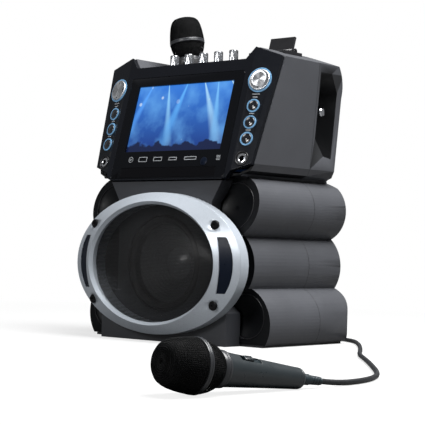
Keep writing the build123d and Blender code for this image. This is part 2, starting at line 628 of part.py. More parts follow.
screw_places = [
    (x, SPEAKER_Z + z) for x in (-RING_SCREW[0], RING_SCREW[0]) for z in (-RING_SCREW[1], RING_SCREW[1])
]

with BuildPart() as ring_trim:
    extrude(ellipse_face(COLUMN_Y - FIT, RING_OUT), amount=COLUMN_Y - FIT - RING_EDGE_Y)
    loft([ellipse_face(RING_EDGE_Y, RING_OUT).face(), ellipse_face(RING_CREST_Y, RING_IN).face()], ruled=True)
    loft(
        [ellipse_face(RING_CREST_Y, RING_IN).face(), ellipse_face(RING_LIP_Y, RING_LIP).face()],
        ruled=True, mode=Mode.SUBTRACT,
    )
    extrude(ellipse_face(COLUMN_Y, RING_LIP), amount=COLUMN_Y - RING_LIP_Y, mode=Mode.SUBTRACT)
    extrude(slit_pair(COLUMN_Y), amount=DEEP, both=True, mode=Mode.SUBTRACT)
    for place in screw_places:
        extrude(front_disc(SCREW_POCKET_Y, place, SCREW_HEAD_R + FIT), amount=DEEP, mode=Mode.SUBTRACT)
        shank = SCREW_LENGTH - SCREW_HEAD_T
        extrude(front_disc(SCREW_POCKET_Y, place, SCREW_SHANK_R + RUNNING), amount=-shank, mode=Mode.SUBTRACT)
keep(ring_trim, "ring_trim")

with BuildPart() as ring_screws:
    for place in screw_places:
        extrude(front_disc(SCREW_POCKET_Y, place, SCREW_HEAD_R), amount=SCREW_HEAD_T)
        extrude(front_disc(SCREW_POCKET_Y, place, SCREW_SHANK_R), amount=-(SCREW_LENGTH - SCREW_HEAD_T))
    for x, z in screw_places:
        with BuildSketch(Plane.XZ.offset(-SCREW_POCKET_Y + SCREW_HEAD_T)):
            with Locations((x, z)):
                RegularPolygon(SCREW_SOCKET_R, 6)
        extrude(amount=-SCREW_HEAD_T / 2, mode=Mode.SUBTRACT)
keep(ring_screws, "ring_screws")

with BuildPart() as light_windows:
    back_y, edge_y = COLUMN_Y - WINDOW_BACK, RING_EDGE_Y + WINDOW_DROP
    extrude(ellipse_face(back_y, RING_OUT), amount=back_y - edge_y)
    loft(
        [ellipse_face(edge_y, RING_OUT).face(), ellipse_face(RING_CREST_Y + WINDOW_DROP, RING_IN).face()],
        ruled=True,
    )
    extrude(slit_pair(back_y, FIT), amount=DEEP, mode=Mode.INTERSECT)
keep(light_windows, "light_windows")

with BuildPart() as speaker_grille:
    sag = GRILLE_EDGE_Y - GRILLE_CREST_Y
    half = RING_LIP[0]
    with BuildSketch() as sheet:
        with BuildLine():
            ThreePointArc((-half, GRILLE_EDGE_Y), (0, GRILLE_CREST_Y), (half, GRILLE_EDGE_Y))
            Line((half, GRILLE_EDGE_Y), (half, GRILLE_EDGE_Y + GRILLE_T))
            ThreePointArc(
                (half, GRILLE_EDGE_Y + GRILLE_T), (0, GRILLE_CREST_Y + GRILLE_T),
                (-half, GRILLE_EDGE_Y + GRILLE_T),
            )
            Line((-half, GRILLE_EDGE_Y + GRILLE_T), (-half, GRILLE_EDGE_Y))
        make_face()
    extrude(amount=DEEP / 2)
    grille_axes = (RING_LIP[0] - FIT, RING_LIP[1] - FIT)
    extrude(ellipse_face(COLUMN_Y, grille_axes), amount=DEEP, mode=Mode.INTERSECT)
keep(speaker_grille, "speaker_grille")

BASKET_Y = COLUMN_Y + WALL
with BuildPart() as woofer_frame:
    with BuildSketch(Plane.YZ):
        with BuildLine():
            Polyline(
                (BASKET_Y, SPEAKER_Z + BASKET_R), (BASKET_Y, SPEAKER_Z + CONE_R + SURROUND_W + AIR),
                (BASKET_Y + BASKET_T, SPEAKER_Z + CONE_R + SURROUND_W + AIR),
                (BASKET_BACK_Y - BASKET_T, SPEAKER_Z + BASKET_BACK_R - BASKET_T),
                (BASKET_BACK_Y - BASKET_T, SPEAKER_Z + COIL_FORMER_R + WALL),
                (BASKET_BACK_Y, SPEAKER_Z + COIL_FORMER_R + WALL),
                (BASKET_BACK_Y, SPEAKER_Z + BASKET_BACK_R),
                (BASKET_Y + 2 * BASKET_T, SPEAKER_Z + BASKET_R - 2),
                (BASKET_Y + BASKET_T, SPEAKER_Z + BASKET_R),
                close=True,
            )
        make_face()
    speaker_axis = Axis((0, 0, SPEAKER_Z), (0, 1, 0))
    revolve(axis=speaker_axis)
keep(woofer_frame, "woofer_frame")

with BuildPart() as woofer_magnet:
    extrude(front_disc(BASKET_BACK_Y, (0, SPEAKER_Z), MAGNET_R), amount=-MAGNET_T)
    extrude(
        front_disc(BASKET_BACK_Y, (0, SPEAKER_Z), COIL_FORMER_R + WALL),
        amount=-MAGNET_T + WALL, mode=Mode.SUBTRACT,
    )
    extrude(front_disc(BASKET_BACK_Y + MAGNET_T - WALL, (0, SPEAKER_Z), MAGNET_POLE_R), amount=MAGNET_T)
keep(woofer_magnet, "woofer_magnet")

CONE_BACK_Y = CONE_Y + CONE_DEPTH
CAP_Y = CONE_BACK_Y - (DUST_CAP_R - COIL_FORMER_R) * CONE_DEPTH / (CONE_R - COIL_FORMER_R)
inner_r = DUST_CAP_R - CONE_T
outer_mid, inner_mid = cap_arc(DUST_CAP_R, CAP_H), cap_arc(inner_r, CAP_H - CONE_T / 2)
with BuildPart() as woofer_cone:
    with BuildSketch(Plane.YZ):
        with BuildLine():
            ThreePointArc(
                (CAP_Y - CAP_H, SPEAKER_Z), (CAP_Y - CAP_H + outer_mid[0], SPEAKER_Z + outer_mid[1]),
                (CAP_Y, SPEAKER_Z + DUST_CAP_R),
            )
            Polyline(
                (CAP_Y, SPEAKER_Z + DUST_CAP_R), (CONE_Y, SPEAKER_Z + CONE_R),
                (CONE_Y + CONE_T, SPEAKER_Z + CONE_R),
                (CONE_BACK_Y + CONE_T, SPEAKER_Z + COIL_FORMER_R + FORMER_T),
                (CONE_BACK_Y + FORMER_L, SPEAKER_Z + COIL_FORMER_R + FORMER_T),
                (CONE_BACK_Y + FORMER_L, SPEAKER_Z + COIL_FORMER_R),
                (CONE_BACK_Y, SPEAKER_Z + COIL_FORMER_R), (CAP_Y + CONE_T / 2, SPEAKER_Z + inner_r),
            )
            ThreePointArc(
                (CAP_Y + CONE_T / 2, SPEAKER_Z + inner_r),
                (CAP_Y - CAP_H + CONE_T + inner_mid[0], SPEAKER_Z + inner_mid[1]),
                (CAP_Y - CAP_H + CONE_T, SPEAKER_Z),
            )
            Line((CAP_Y - CAP_H + CONE_T, SPEAKER_Z), (CAP_Y - CAP_H, SPEAKER_Z))
        make_face()
    revolve(axis=speaker_axis)
keep(woofer_cone, "woofer_cone")

with BuildPart() as woofer_surround:
    inner, outer = SPEAKER_Z + CONE_R + AIR, SPEAKER_Z + CONE_R + SURROUND_W
    middle, edge_y = (inner + outer) / 2, BASKET_Y + 1
    with BuildSketch(Plane.YZ):
        with BuildLine():
            ThreePointArc((edge_y, inner), (edge_y - SURROUND_H, middle), (edge_y, outer))
            Line((edge_y, outer), (edge_y + 1, outer))
            ThreePointArc((edge_y + 1, outer), (edge_y + 1 - SURROUND_H, middle), (edge_y + 1, inner))
            Line((edge_y + 1, inner), (edge_y, inner))
        make_face()
    revolve(axis=speaker_axis)
keep(woofer_surround, "woofer_surround")


def dish(side, centre, radius, front):
    """Round dark insert with a hollowed front, seated in a lobe's end."""
    face = dish_plane(side, centre, front)
    rim = radius - FIT
    hollow_r, hollow_rise = rim - DISH_RIM_W, DISH_DROP - DISH_RIM_DROP
    middle = cap_arc(hollow_r, hollow_rise)
    section = Plane(origin=face.origin, x_dir=face.x_dir, z_dir=face.x_dir.cross(face.z_dir))
    with BuildSketch(section) as profile:
        with BuildLine():
            Line((0, -DISH_BACK), (0, -DISH_DROP))
            ThreePointArc((0, -DISH_DROP), (middle[1], middle[0] - DISH_DROP), (hollow_r, -DISH_RIM_DROP))
            Polyline((hollow_r, -DISH_RIM_DROP), (rim, -DISH_RIM_DROP), (rim, -DISH_BACK), (0, -DISH_BACK))
        make_face()
    return revolve(profile.sketch, axis=Axis(face.origin, face.z_dir), mode=Mode.PRIVATE)


with BuildPart() as lobe_dishes:
    for centre, radius, front in DISHES:
        for side in SIDES.values():
            add(dish(side, centre, radius, front))
    extrude(column_outline(COLUMN_Y, FIT), amount=-COLUMN_CUT, mode=Mode.SUBTRACT)
keep(lobe_dishes, "lobe_dishes")

with BuildPart() as strap_studs:
    for side in SIDES.values():
        start = Plane.YZ.offset(side * (RECESS_IN_X + FIT))
        with BuildSketch(start):
            with Locations(STUD_YZ):
                Circle(STUD_NECK_R)
        extrude(amount=side * STUD_REACH)
        with BuildSketch(Plane.YZ.offset(side * (RECESS_IN_X + STUD_REACH))):
            with Locations(STUD_YZ):
                Circle(STUD_HEAD_R)
        extrude(amount=side * STUD_HEAD_T)
keep(strap_studs, "strap_studs")

# ------------------------------------------------------------------ top deck
DECK_Z = DECK_EDGE[1]
HOLDER_TILT = radians(HOLDER_LEAN)
HOLDER_PLANE = Plane(
    origin=(*HOLDER_XY, DECK_Z), x_dir=(0, -1, 0), z_dir=(-sin(HOLDER_TILT), 0, cos(HOLDER_TILT))
)
knob_xs = [(i - (KNOB_COUNT - 1) / 2) * KNOB_STEP for i in range(KNOB_COUNT)]

with BuildPart() as top_deck:
    with BuildSketch(Plane.XY.offset(DECK_Z - DECK_T)):
        with Locations((0, (DECK_FRONT_Y + DECK_BACK_Y) / 2)):
            Rectangle(2 * DECK_HALF, DECK_BACK_Y - DECK_FRONT_Y)
        with Locations(*[(x, KNOB_Y) for x in knob_xs]):
            Circle(KNOB_SHAFT_R + RUNNING, mode=Mode.SUBTRACT)
        with Locations(((DOCK_X[0] + DOCK_X[1]) / 2, sum(DOCK_Y) / 2)):
            Rectangle(DOCK_X[1] - DOCK_X[0] + 2 * FIT, DOCK_Y[1] - DOCK_Y[0] + 2 * FIT, mode=Mode.SUBTRACT)
    extrude(amount=DECK_T)
    with BuildSketch(HOLDER_PLANE):
        Circle(HOLDER_R + FIT)
    extrude(amount=DEEP, both=True, mode=Mode.SUBTRACT)
keep(top_deck, "top_deck")

for i, x in enumerate(knob_xs):
    with BuildPart() as knob:
        with BuildSketch(Plane.XY.offset(DECK_Z + AIR)):
            with Locations((x, KNOB_Y)):
                Circle(KNOB_R)
        extrude(amount=KNOB_H)
        chamfer(knob.faces().sort_by(Axis.Z)[-1].edges(), 0.8)
        with BuildSketch(Plane.XY.offset(DECK_Z + AIR)):
            with Locations((x, KNOB_Y)):
                Circle(KNOB_SHAFT_R)
        extrude(amount=-KNOB_SHAFT_L)
    keep(knob, f"knob_{i + 1}")

with BuildPart() as mic_holder:
    with BuildSketch(HOLDER_PLANE.offset(HOLDER_FLOOR - WALL)):
        Circle(HOLDER_R)
    extrude(amount=HOLDER_TOP - HOLDER_FLOOR + WALL)
    with BuildSketch(HOLDER_PLANE.offset(HOLDER_FLOOR)):
        Circle(HOLDER_BORE_R)
    extrude(amount=HOLDER_TOP - HOLDER_FLOOR, mode=Mode.SUBTRACT)
    fillet(mic_holder.faces().sort_by(Axis.Z)[-1].edges(), 1.2)
keep(mic_holder, "mic_holder")

dock_centre_x, dock_centre_y = sum(DOCK_X) / 2, sum(DOCK_Y) / 2
rest_centre_x = sum(REST_X) / 2
rest_length = REST_X[1] - REST_X[0]
with BuildPart() as phone_dock:
    with BuildSketch(Plane.XY.offset(DOCK_Z[0])):
        with Locations((dock_centre_x, dock_centre_y)):
            Rectangle(DOCK_X[1] - DOCK_X[0], DOCK_Y[1] - DOCK_Y[0])
    extrude(amount=DOCK_Z[1] - DOCK_Z[0])
    with BuildSketch(Plane.XY.offset(DOCK_SLOT_FLOOR_Z)):
        with Locations((sum(DOCK_SLOT_X) / 2, sum(DOCK_SLOT_Y) / 2)):
            Rectangle(DOCK_SLOT_X[1] - DOCK_SLOT_X[0], DOCK_SLOT_Y[1] - DOCK_SLOT_Y[0])
    extrude(amount=DEEP, mode=Mode.SUBTRACT)
    for side in SIDES.values():
        with BuildSketch(Plane.YZ.offset(rest_centre_x + side * (rest_length / 2 + AIR + REST_EAR_T / 2))):
            with Locations((REST_PIN_Y, REST_PIN_Z)):
                Circle(REST_KNUCKLE_R)
            with Locations((REST_PIN_Y, (REST_PIN_Z + DOCK_Z[1] - 2) / 2)):
                Rectangle(2 * REST_KNUCKLE_R, REST_PIN_Z - DOCK_Z[1] + 2)
        extrude(amount=REST_EAR_T / 2, both=True)
    with BuildSketch(Plane.YZ.offset(rest_centre_x)):
        with Locations((REST_PIN_Y, REST_PIN_Z)):
            Circle(REST_KNUCKLE_R + AIR)
    extrude(amount=rest_length / 2 + AIR, both=True, mode=Mode.SUBTRACT)
    with BuildSketch(Plane.YZ.offset(rest_centre_x)):
        with Locations((REST_PIN_Y, REST_PIN_Z)):
            Circle(REST_PIN_R + RUNNING)
    extrude(amount=rest_length / 2 + AIR + REST_EAR_T, both=True, mode=Mode.SUBTRACT)
keep(phone_dock, "phone_dock")

with BuildPart() as dock_rest:
    with BuildSketch(Plane.YZ.offset(rest_centre_x)):
        with Locations(Pos(REST_PIN_Y, REST_PIN_Z) * Rot(0, 0, -REST_LEAN)):
            Rectangle(REST_T, REST_H, align=(Align.CENTER, Align.MIN))
            Circle(REST_KNUCKLE_R)
    extrude(amount=rest_length / 2, both=True)
    with BuildSketch(Plane.YZ.offset(rest_centre_x)):
        with Locations((REST_PIN_Y, REST_PIN_Z)):
            Circle(REST_PIN_R)
    extrude(amount=rest_length / 2 + AIR + REST_EAR_T - 0.5, both=True)
keep(dock_rest, "dock_rest")

# ---------------------------------------------------------------- disc drive
PITCH_R = GEAR_MODULE * GEAR_TEETH / 2
RACK_X = TRAY_HALF + 2.0
GEAR_X = RACK_X + PITCH_R
TOOTH_STEP = pi * GEAR_MODULE
TOOTH_OUT, TOOTH_IN = 0.9 * GEAR_MODULE, 1.15 * GEAR_MODULE
PRESSURE = radians(20.0)

with BuildPart() as disc_tray:
    extrude(
        head_rect(SLOT_HALF - TRAY_DOOR_GAP, SLOT_V0 + TRAY_DOOR_GAP, SLOT_V1 - TRAY_DOOR_GAP),
        amount=-TRAY_DOOR_T,
    )
    tray_front_y = HEAD_FOOT[0] + (TRAY_Z - HEAD_FOOT[1]) * tan(LEAN) + TRAY_DOOR_T
    with BuildSketch(Plane.XY.offset(TRAY_Z)):
        with Locations((0, (tray_front_y + TRAY_BACK_Y) / 2)):
            Rectangle(2 * TRAY_HALF, TRAY_BACK_Y - tray_front_y)
    extrude(amount=TRAY_TOP_Z - TRAY_Z)
    with BuildSketch(Plane.XY.offset(TRAY_TOP_Z - DISC_DROP)):
        with Locations((0, DISC_Y)):
            Circle(DISC_R)
    extrude(amount=DISC_DROP, mode=Mode.SUBTRACT)
    with BuildSketch(Plane.XY.offset(TRAY_Z)):
        with Locations((0, DISC_Y)):
            Circle(TRAY_SLOT_HALF)
        with Locations((0, (DISC_Y + DEEP / 2) / 2)):
            Rectangle(2 * TRAY_SLOT_HALF, DEEP / 2 - DISC_Y)
    extrude(amount=TRAY_TOP_Z - TRAY_Z, mode=Mode.SUBTRACT)
    first_tooth = int((tray_front_y + TOOTH_STEP - GEAR_Y) / TOOTH_STEP)
    last_tooth = int((TRAY_BACK_Y - TOOTH_STEP - GEAR_Y) / TOOTH_STEP)
    slope = tan(PRESSURE)
    half_tooth = TOOTH_STEP / 4 - BACKLASH / 2
    with BuildSketch(Plane.XY.offset(TRAY_Z)):
        for n in range(first_tooth, last_tooth + 1):
            y = GEAR_Y + (n + 0.5) * TOOTH_STEP
            with BuildLine():
                Polyline(
                    (TRAY_HALF - 1, y - half_tooth - slope * (RACK_X - TRAY_HALF + 1)),
                    (RACK_X + TOOTH_OUT, y - half_tooth + slope * TOOTH_OUT),
                    (RACK_X + TOOTH_OUT, y + half_tooth - slope * TOOTH_OUT),
                    (TRAY_HALF - 1, y + half_tooth + slope * (RACK_X - TRAY_HALF + 1)), close=True,
                )
            make_face()
    extrude(amount=TRAY_TOP_Z - TRAY_Z)
keep(disc_tray, "disc_tray")


def involute_half_angle(radius):
    """Half the tooth's angle at a radius, for a true involute flank."""
    base = PITCH_R * cos(PRESSURE)
    at_pitch = pi / (2 * GEAR_TEETH) - BACKLASH / (2 * PITCH_R)
    if radius <= base:
        return at_pitch + tan(PRESSURE) - PRESSURE
    angle = atan(sqrt((radius / base) ** 2 - 1))
    return at_pitch + (tan(PRESSURE) - PRESSURE) - (tan(angle) - angle)


with BuildPart() as tray_pinion:
    tip_r, root_r = PITCH_R + TOOTH_OUT, PITCH_R - TOOTH_IN
    flank = [root_r + (tip_r - root_r) * k / FLANK_STEPS for k in range(FLANK_STEPS + 1)]
    outline = []
    for tooth in range(GEAR_TEETH):
        middle = pi + 2 * pi * tooth / GEAR_TEETH
        outline += [(r, middle - involute_half_angle(r)) for r in flank]
        outline += [(r, middle + involute_half_angle(r)) for r in reversed(flank)]
    with BuildSketch(Plane.XY.offset(TRAY_Z + AIR)):
        with BuildLine():
            Polyline(*[(GEAR_X + r * cos(a), GEAR_Y + r * sin(a)) for r, a in outline], close=True)
        make_face()
    extrude(amount=TRAY_TOP_Z - TRAY_Z - 2 * AIR)
    with BuildSketch(Plane.XY.offset(CHASSIS_Z + AIR)):
        with Locations((GEAR_X, GEAR_Y)):
            Circle(GEAR_SHAFT_R)
    extrude(amount=TRAY_TOP_Z + 1 - CHASSIS_Z)
keep(tray_pinion, "tray_pinion")

CHASSIS_FLOOR = CHASSIS_Z + CHASSIS_T
ledge_top = TRAY_Z - AIR
with BuildPart() as drive_chassis:
    with BuildSketch(Plane.XY.offset(CHASSIS_Z)):
        with Locations((sum(CHASSIS_X) / 2, sum(CHASSIS_Y) / 2)):
            Rectangle(CHASSIS_X[1] - CHASSIS_X[0], CHASSIS_Y[1] - CHASSIS_Y[0])
    extrude(amount=CHASSIS_T)
    with BuildSketch(Plane.XY.offset(CHASSIS_FLOOR)):
        for side in SIDES.values():
            with Locations((side * (LEDGE_IN + LEDGE_OUT) / 2, sum(CHASSIS_Y) / 2)):
                Rectangle(LEDGE_OUT - LEDGE_IN, CHASSIS_Y[1] - CHASSIS_Y[0])
        with Locations((0, DISC_Y)):
            Circle(SPINDLE_R * 0.7)
    extrude(amount=ledge_top - CHASSIS_FLOOR)
    with BuildSketch(Plane.XY.offset(CHASSIS_FLOOR)):
        for x in (CHASSIS_X[0] + WALL / 2, CHASSIS_X[1] - WALL / 2):
            with Locations((x, CHASSIS_WALL_Y)):
                Rectangle(WALL, CHASSIS_WALL_L)
    extrude(amount=CHASSIS_TOP_Z - CHASSIS_FLOOR)
    with BuildSketch(Plane.XY.offset(CHASSIS_FLOOR)):
        for y in RAIL_Y:
            with Locations((0, y)):
                Rectangle(2 * RAIL_X + 6, WALL)
    extrude(amount=RAIL_Z + 2 - CHASSIS_FLOOR)
    for x in (-RAIL_X, RAIL_X):
        with BuildSketch(Plane.XZ.offset(-RAIL_Y[0])):
            with Locations((x, RAIL_Z)):
                Circle(RAIL_R)
        extrude(amount=RAIL_Y[0] - RAIL_Y[1])
    with BuildSketch(Plane.XY.offset(CHASSIS_Z)):
        with Locations((GEAR_X, GEAR_Y)):
            Circle(GEAR_SHAFT_R + RUNNING)
        with Locations((0, DISC_Y)):
            Circle(SPINDLE_SHAFT_R + RUNNING)
    extrude(amount=TRAY_Z - CHASSIS_Z, mode=Mode.SUBTRACT)
keep(drive_chassis, "drive_chassis")

with BuildPart() as disc_spindle:
    with BuildSketch(Plane.XY.offset(TRAY_Z + AIR)):
        with Locations((0, DISC_Y)):
            Circle(SPINDLE_R)
    extrude(amount=TRAY_TOP_Z - DISC_DROP - TRAY_Z - 2 * AIR)
    with BuildSketch(Plane.XY.offset(TRAY_TOP_Z - DISC_DROP - AIR)):
        with Locations((0, DISC_Y)):
            Circle(HUB_R)
    extrude(amount=SPINDLE_TOP_Z - TRAY_TOP_Z + DISC_DROP)
    chamfer(disc_spindle.faces().sort_by(Axis.Z)[-1].edges(), 1.2)
    with BuildSketch(Plane.XY.offset(CHASSIS_Z + AIR)):
        with Locations((0, DISC_Y)):
            Circle(SPINDLE_SHAFT_R)
    extrude(amount=TRAY_Z + 1 - CHASSIS_Z)
keep(disc_spindle, "disc_spindle")

with BuildPart() as pickup_sled:
    with BuildSketch(Plane.XY.offset(SLED_Z[0])):
        with Locations((0, sum(SLED_Y) / 2)):
            Rectangle(2 * SLED_HALF, SLED_Y[1] - SLED_Y[0])
    extrude(amount=SLED_Z[1] - SLED_Z[0])
    with BuildSketch(Plane.XY.offset(SLED_Z[1])):
        with Locations((0, sum(SLED_Y) / 2)):
            Circle(LENS_R)
    extrude(amount=LENS_H)
    for x in (-RAIL_X, RAIL_X):
        with BuildSketch(Plane.XZ.offset(-SLED_Y[0])):
            with Locations((x, RAIL_Z)):
                Circle(RAIL_R + RUNNING)
        extrude(amount=SLED_Y[0] - SLED_Y[1], mode=Mode.SUBTRACT)
keep(pickup_sled, "pickup_sled")

# --------------------------------------------------------------- electronics
FLOOR_Z = LOBE_FOOT[1] + WALL
with BuildPart() as power_supply:
    with BuildSketch(Plane.XY.offset(FLOOR_Z + AIR)):
        with Locations((sum(SUPPLY_X) / 2, sum(SUPPLY_Y) / 2)):
            Rectangle(SUPPLY_X[1] - SUPPLY_X[0], SUPPLY_Y[1] - SUPPLY_Y[0])
    extrude(amount=SUPPLY_H)
    chamfer(power_supply.edges().filter_by(Axis.Z), 2)
keep(power_supply, "power_supply")

with BuildPart() as circuit_boards:
    with BuildSketch(Plane.XY.offset(CHASSIS_TOP_Z + FIT)):
        with Locations((sum(CHASSIS_X) / 2, CHASSIS_WALL_Y)):
            Rectangle(CHASSIS_X[1] - CHASSIS_X[0], CHASSIS_WALL_L)
    extrude(amount=BOARD_T)
    for x, y, w, d, h in MAIN_CHIPS:
        with BuildSketch(Plane.XY.offset(CHASSIS_TOP_Z + FIT + BOARD_T)):
            with Locations((x, y)):
                Rectangle(w, d)
        extrude(amount=h)
    amp_z = FLOOR_Z + FIT + STANDOFF_H
    with BuildSketch(Plane.XY.offset(amp_z)):
        with Locations((sum(AMP_X) / 2, sum(AMP_Y) / 2)):
            Rectangle(AMP_X[1] - AMP_X[0], AMP_Y[1] - AMP_Y[0])
    extrude(amount=BOARD_T)
    with BuildSketch(Plane.XY.offset(amp_z)):
        with Locations((sum(AMP_X) / 2, sum(AMP_Y) / 2)):
            with GridLocations(AMP_X[1] - AMP_X[0] - 8, AMP_Y[1] - AMP_Y[0] - 8, 2, 2):
                Circle(3)
    extrude(amount=-STANDOFF_H)
    for n in range(FIN_COUNT):
        with BuildSketch(Plane.XY.offset(amp_z + BOARD_T)):
            with Locations((AMP_X[0] + 20 + n * FIN_STEP, sum(AMP_Y) / 2)):
                Rectangle(FIN_T, FIN_L)
        extrude(amount=FIN_H)
keep(circuit_boards, "circuit_boards")


# --------------------------------------------------------------- microphones
def mic_section(plane):
    """Plane through the microphone's axis: x out from the axis, y from the tip to the tail."""
    return Plane(origin=plane.origin, x_dir=plane.x_dir, z_dir=plane.x_dir.cross(plane.z_dir))


def turned_face(plane, points):
    """Half section along the microphone's axis from (distance from the tip, radius) points."""
    with BuildSketch(mic_section(plane)) as face:
        with BuildLine():
            Polyline(*[(r, s) for s, r in points], close=True)
        make_face()
    return face.sketch


def switch_face(plane, s, width, r_range):
    """Cross-section of a block on the switch side of the handle."""
    with BuildSketch(plane.offset(s)) as face:
        with Locations((sum(r_range) / 2, 0)):
            Rectangle(r_range[1] - r_range[0], width)
    return face.sketch


def make_mic(plane, name):
    """Head, handle and switch of one microphone."""
    axis = Axis(plane.origin, plane.z_dir)
    band = [(MIC_BAND[0], 0), (MIC_BAND[0], MIC_BAND[2]), (MIC_BAND[1], MIC_BAND[2]), (MIC_BAND[1], 0)]
    with BuildPart() as grille:
        revolve(turned_face(plane, [*MIC_HEAD, (MIC_HEAD[-1][0], 0.0)]), axis=axis)
        revolve(turned_face(plane, band), axis=axis)
        revolve(turned_face(plane, [(MIC_TAPER[0][0], 0.0), *MIC_TAPER, (MIC_TAPER[-1][0], 0.0)]), axis=axis)
    keep(grille, f"{name}_grille")
    bed_start, bed_end = MIC_SWITCH_S
    bed = (MIC_SWITCH_BED_R, 2 * MIC_BAND[2])
    with BuildPart() as handle:
        revolve(turned_face(plane, [(MIC_BODY[0][0], 0.0), *MIC_BODY]), axis=axis)
        bed_cut = switch_face(plane, bed_start, MIC_SWITCH_W + 2 * FIT, bed)
        extrude(bed_cut, amount=bed_end - bed_start, mode=Mode.SUBTRACT)
    keep(handle, f"{name}_body")
    start = bed_start + (bed_end - bed_start - MIC_SWITCH_L - MIC_SWITCH_TRAVEL) / 2
    block = (MIC_SWITCH_BED_R + AIR, MIC_SWITCH_TOP_R)
    with BuildPart() as switch:
        extrude(switch_face(plane, start, MIC_SWITCH_W, block), amount=MIC_SWITCH_L)
    keep(switch, f"{name}_switch")


band_s = (MIC_BAND[0] + MIC_BAND[1]) / 2
band_up = (TOP_MIC_BAND_Z - DECK_Z) / cos(HOLDER_TILT)
top_mic_tip = HOLDER_PLANE.origin + HOLDER_PLANE.z_dir * (band_up + band_s)
TOP_MIC = Plane(origin=top_mic_tip, x_dir=(0, -1, 0), z_dir=HOLDER_PLANE.z_dir * -1)
make_mic(TOP_MIC, "top_mic")

tail_s, tail_r = MIC_BODY[-3]
nose_down = asin((MIC_BAND[2] - tail_r) / (tail_s - MIC_BAND[1]))
yaw = radians(FLOOR_MIC_YAW)
mic_dir = Vector(cos(yaw) * cos(nose_down), sin(yaw) * cos(nose_down), -sin(nose_down))
tip_z = MIC_BAND[2] * cos(nose_down) + MIC_BAND[1] * sin(nose_down) + FLOOR_AIR
mic_side = Vector(sin(yaw), -cos(yaw), 0)
mic_up = mic_side.cross(mic_dir)
roll = radians(MIC_ROLL)
FLOOR_MIC = Plane(
    origin=(*FLOOR_MIC_TIP, tip_z), x_dir=mic_up * cos(roll) + mic_side * sin(roll), z_dir=mic_dir
)
make_mic(FLOOR_MIC, "floor_mic")

mic_end_s = MIC_BODY[-1][0]
with BuildPart() as mic_strain_relief:
    sleeve = [
        (mic_end_s, 0.0), (mic_end_s, RELIEF_R0),
        (mic_end_s + RELIEF_L, RELIEF_R1), (mic_end_s + RELIEF_L, 0.0),
    ]
    revolve(turned_face(FLOOR_MIC, sleeve), axis=Axis(FLOOR_MIC.origin, mic_dir))
keep(mic_strain_relief, "mic_strain_relief")

# ---------------------------------------------------------------------- cord
def corner_radii(points):
    """Radius of the tangent arc at each corner: as large as the runs beside it allow."""
    radii = []
    for a, b, c in zip(points, points[1:], points[2:]):
        before, after = Vector(*b) - Vector(*a), Vector(*c) - Vector(*b)
        turn = radians(before.get_angle(after))
        radii.append(0.45 * min(before.length, after.length) / tan(turn / 2))
    return radii


def tube(points, name):
    """Cord along straight runs joined by tangent arcs."""
    radii = corner_radii(points)
    with BuildPart() as made:
        with BuildLine() as path:
            FilletPolyline(*points, radius=radii)
        with BuildSketch(Plane(origin=path.line @ 0, z_dir=path.line % 0)):
            Circle(CORD_R)
        sweep()
    length = path.wires()[0].length
    print(f"{name}: length {length:.1f} mm, least radius {min(radii):.1f} mm,")
    print(f"  volume over section times length {made.part.volume / (pi * CORD_R ** 2 * length):.4f}")
    keep(made, name)
    return length


def coil_point(turn):
    """Point of the coil after so many turns, clockwise seen from above."""
    r = COIL_OUT_R - COIL_PITCH * (turn if turn <= COIL_TURNS else 2 * COIL_TURNS - turn)
    climb = min(1.0, max(0.0, (turn - COIL_TURNS + 0.25) / 0.5))
    angle = -pi / 2 - 2 * pi * turn
    return Vector(
        COIL_CENTRE[0] + r * cos(angle), COIL_CENTRE[1] + r * sin(angle), COIL_Z + COIL_LAYER * climb
    )


def coil_tangent(turn):
    """Direction of the coil at that turn; level at both ends of the climb."""
    step = 1e-4
    ahead, behind = coil_point(turn + step), coil_point(turn - step)
    way = ahead - behind
    if abs(turn - COIL_TURNS) > 0.2:
        way = Vector(way.X, way.Y, 0)
    return way.normalized()


def biarc(start, start_dir, end, end_dir):
    """Two arcs that join two points with given directions."""
    chord, both = end - start, start_dir + end_dir
    a, b, c = 2 * (1 - start_dir.dot(end_dir)), 2 * chord.dot(both), -chord.dot(chord)
    reach = -c / b if abs(a) < 1e-9 else (-b + sqrt(b * b - 4 * a * c)) / (2 * a)
    first, last = start + start_dir * reach, end - end_dir * reach
    middle = (first + last) * 0.5
    TangentArc(start, middle, tangent=start_dir)
    TangentArc(middle, end, tangent=last - first)


coil_entry = coil_point(0) + Vector(2 * CORD_R, 0, 0)
coil_exit = coil_point(2 * COIL_TURNS) - Vector(2 * CORD_R, 0, 0)
quarters = [k / 4 for k in range(8 * COIL_TURNS + 1)]
with BuildPart() as cord_coil:
    with BuildLine() as coil_path:
        Line(coil_entry, coil_point(0))
        for a, b in zip(quarters, quarters[1:]):
            starts = Vector(-1, 0, 0) if a == 0 else coil_tangent(a)
            ends = Vector(-1, 0, 0) if b == quarters[-1] else coil_tangent(b)
            biarc(coil_point(a), starts, coil_point(b), ends)
        Line(coil_point(quarters[-1]), coil_exit)
    with BuildSketch(Plane(origin=coil_entry, z_dir=(-1, 0, 0))):
        Circle(CORD_R)
    sweep()
coil_length = coil_path.wires()[0].length
fine = [coil_point(k / 48) for k in range(96 * COIL_TURNS + 1)]
least = min(
    (fine[i] - fine[j]).length for i in range(0, len(fine), 2) for j in range(i + 24, len(fine))
)
print(f"cord_coil: length {coil_length:.1f} mm, least gap {least - 2 * CORD_R:.2f} mm,")
print(f"  volume ratio {cord_coil.part.volume / (pi * CORD_R ** 2 * coil_length):.4f}")
keep(cord_coil, "cord_coil")

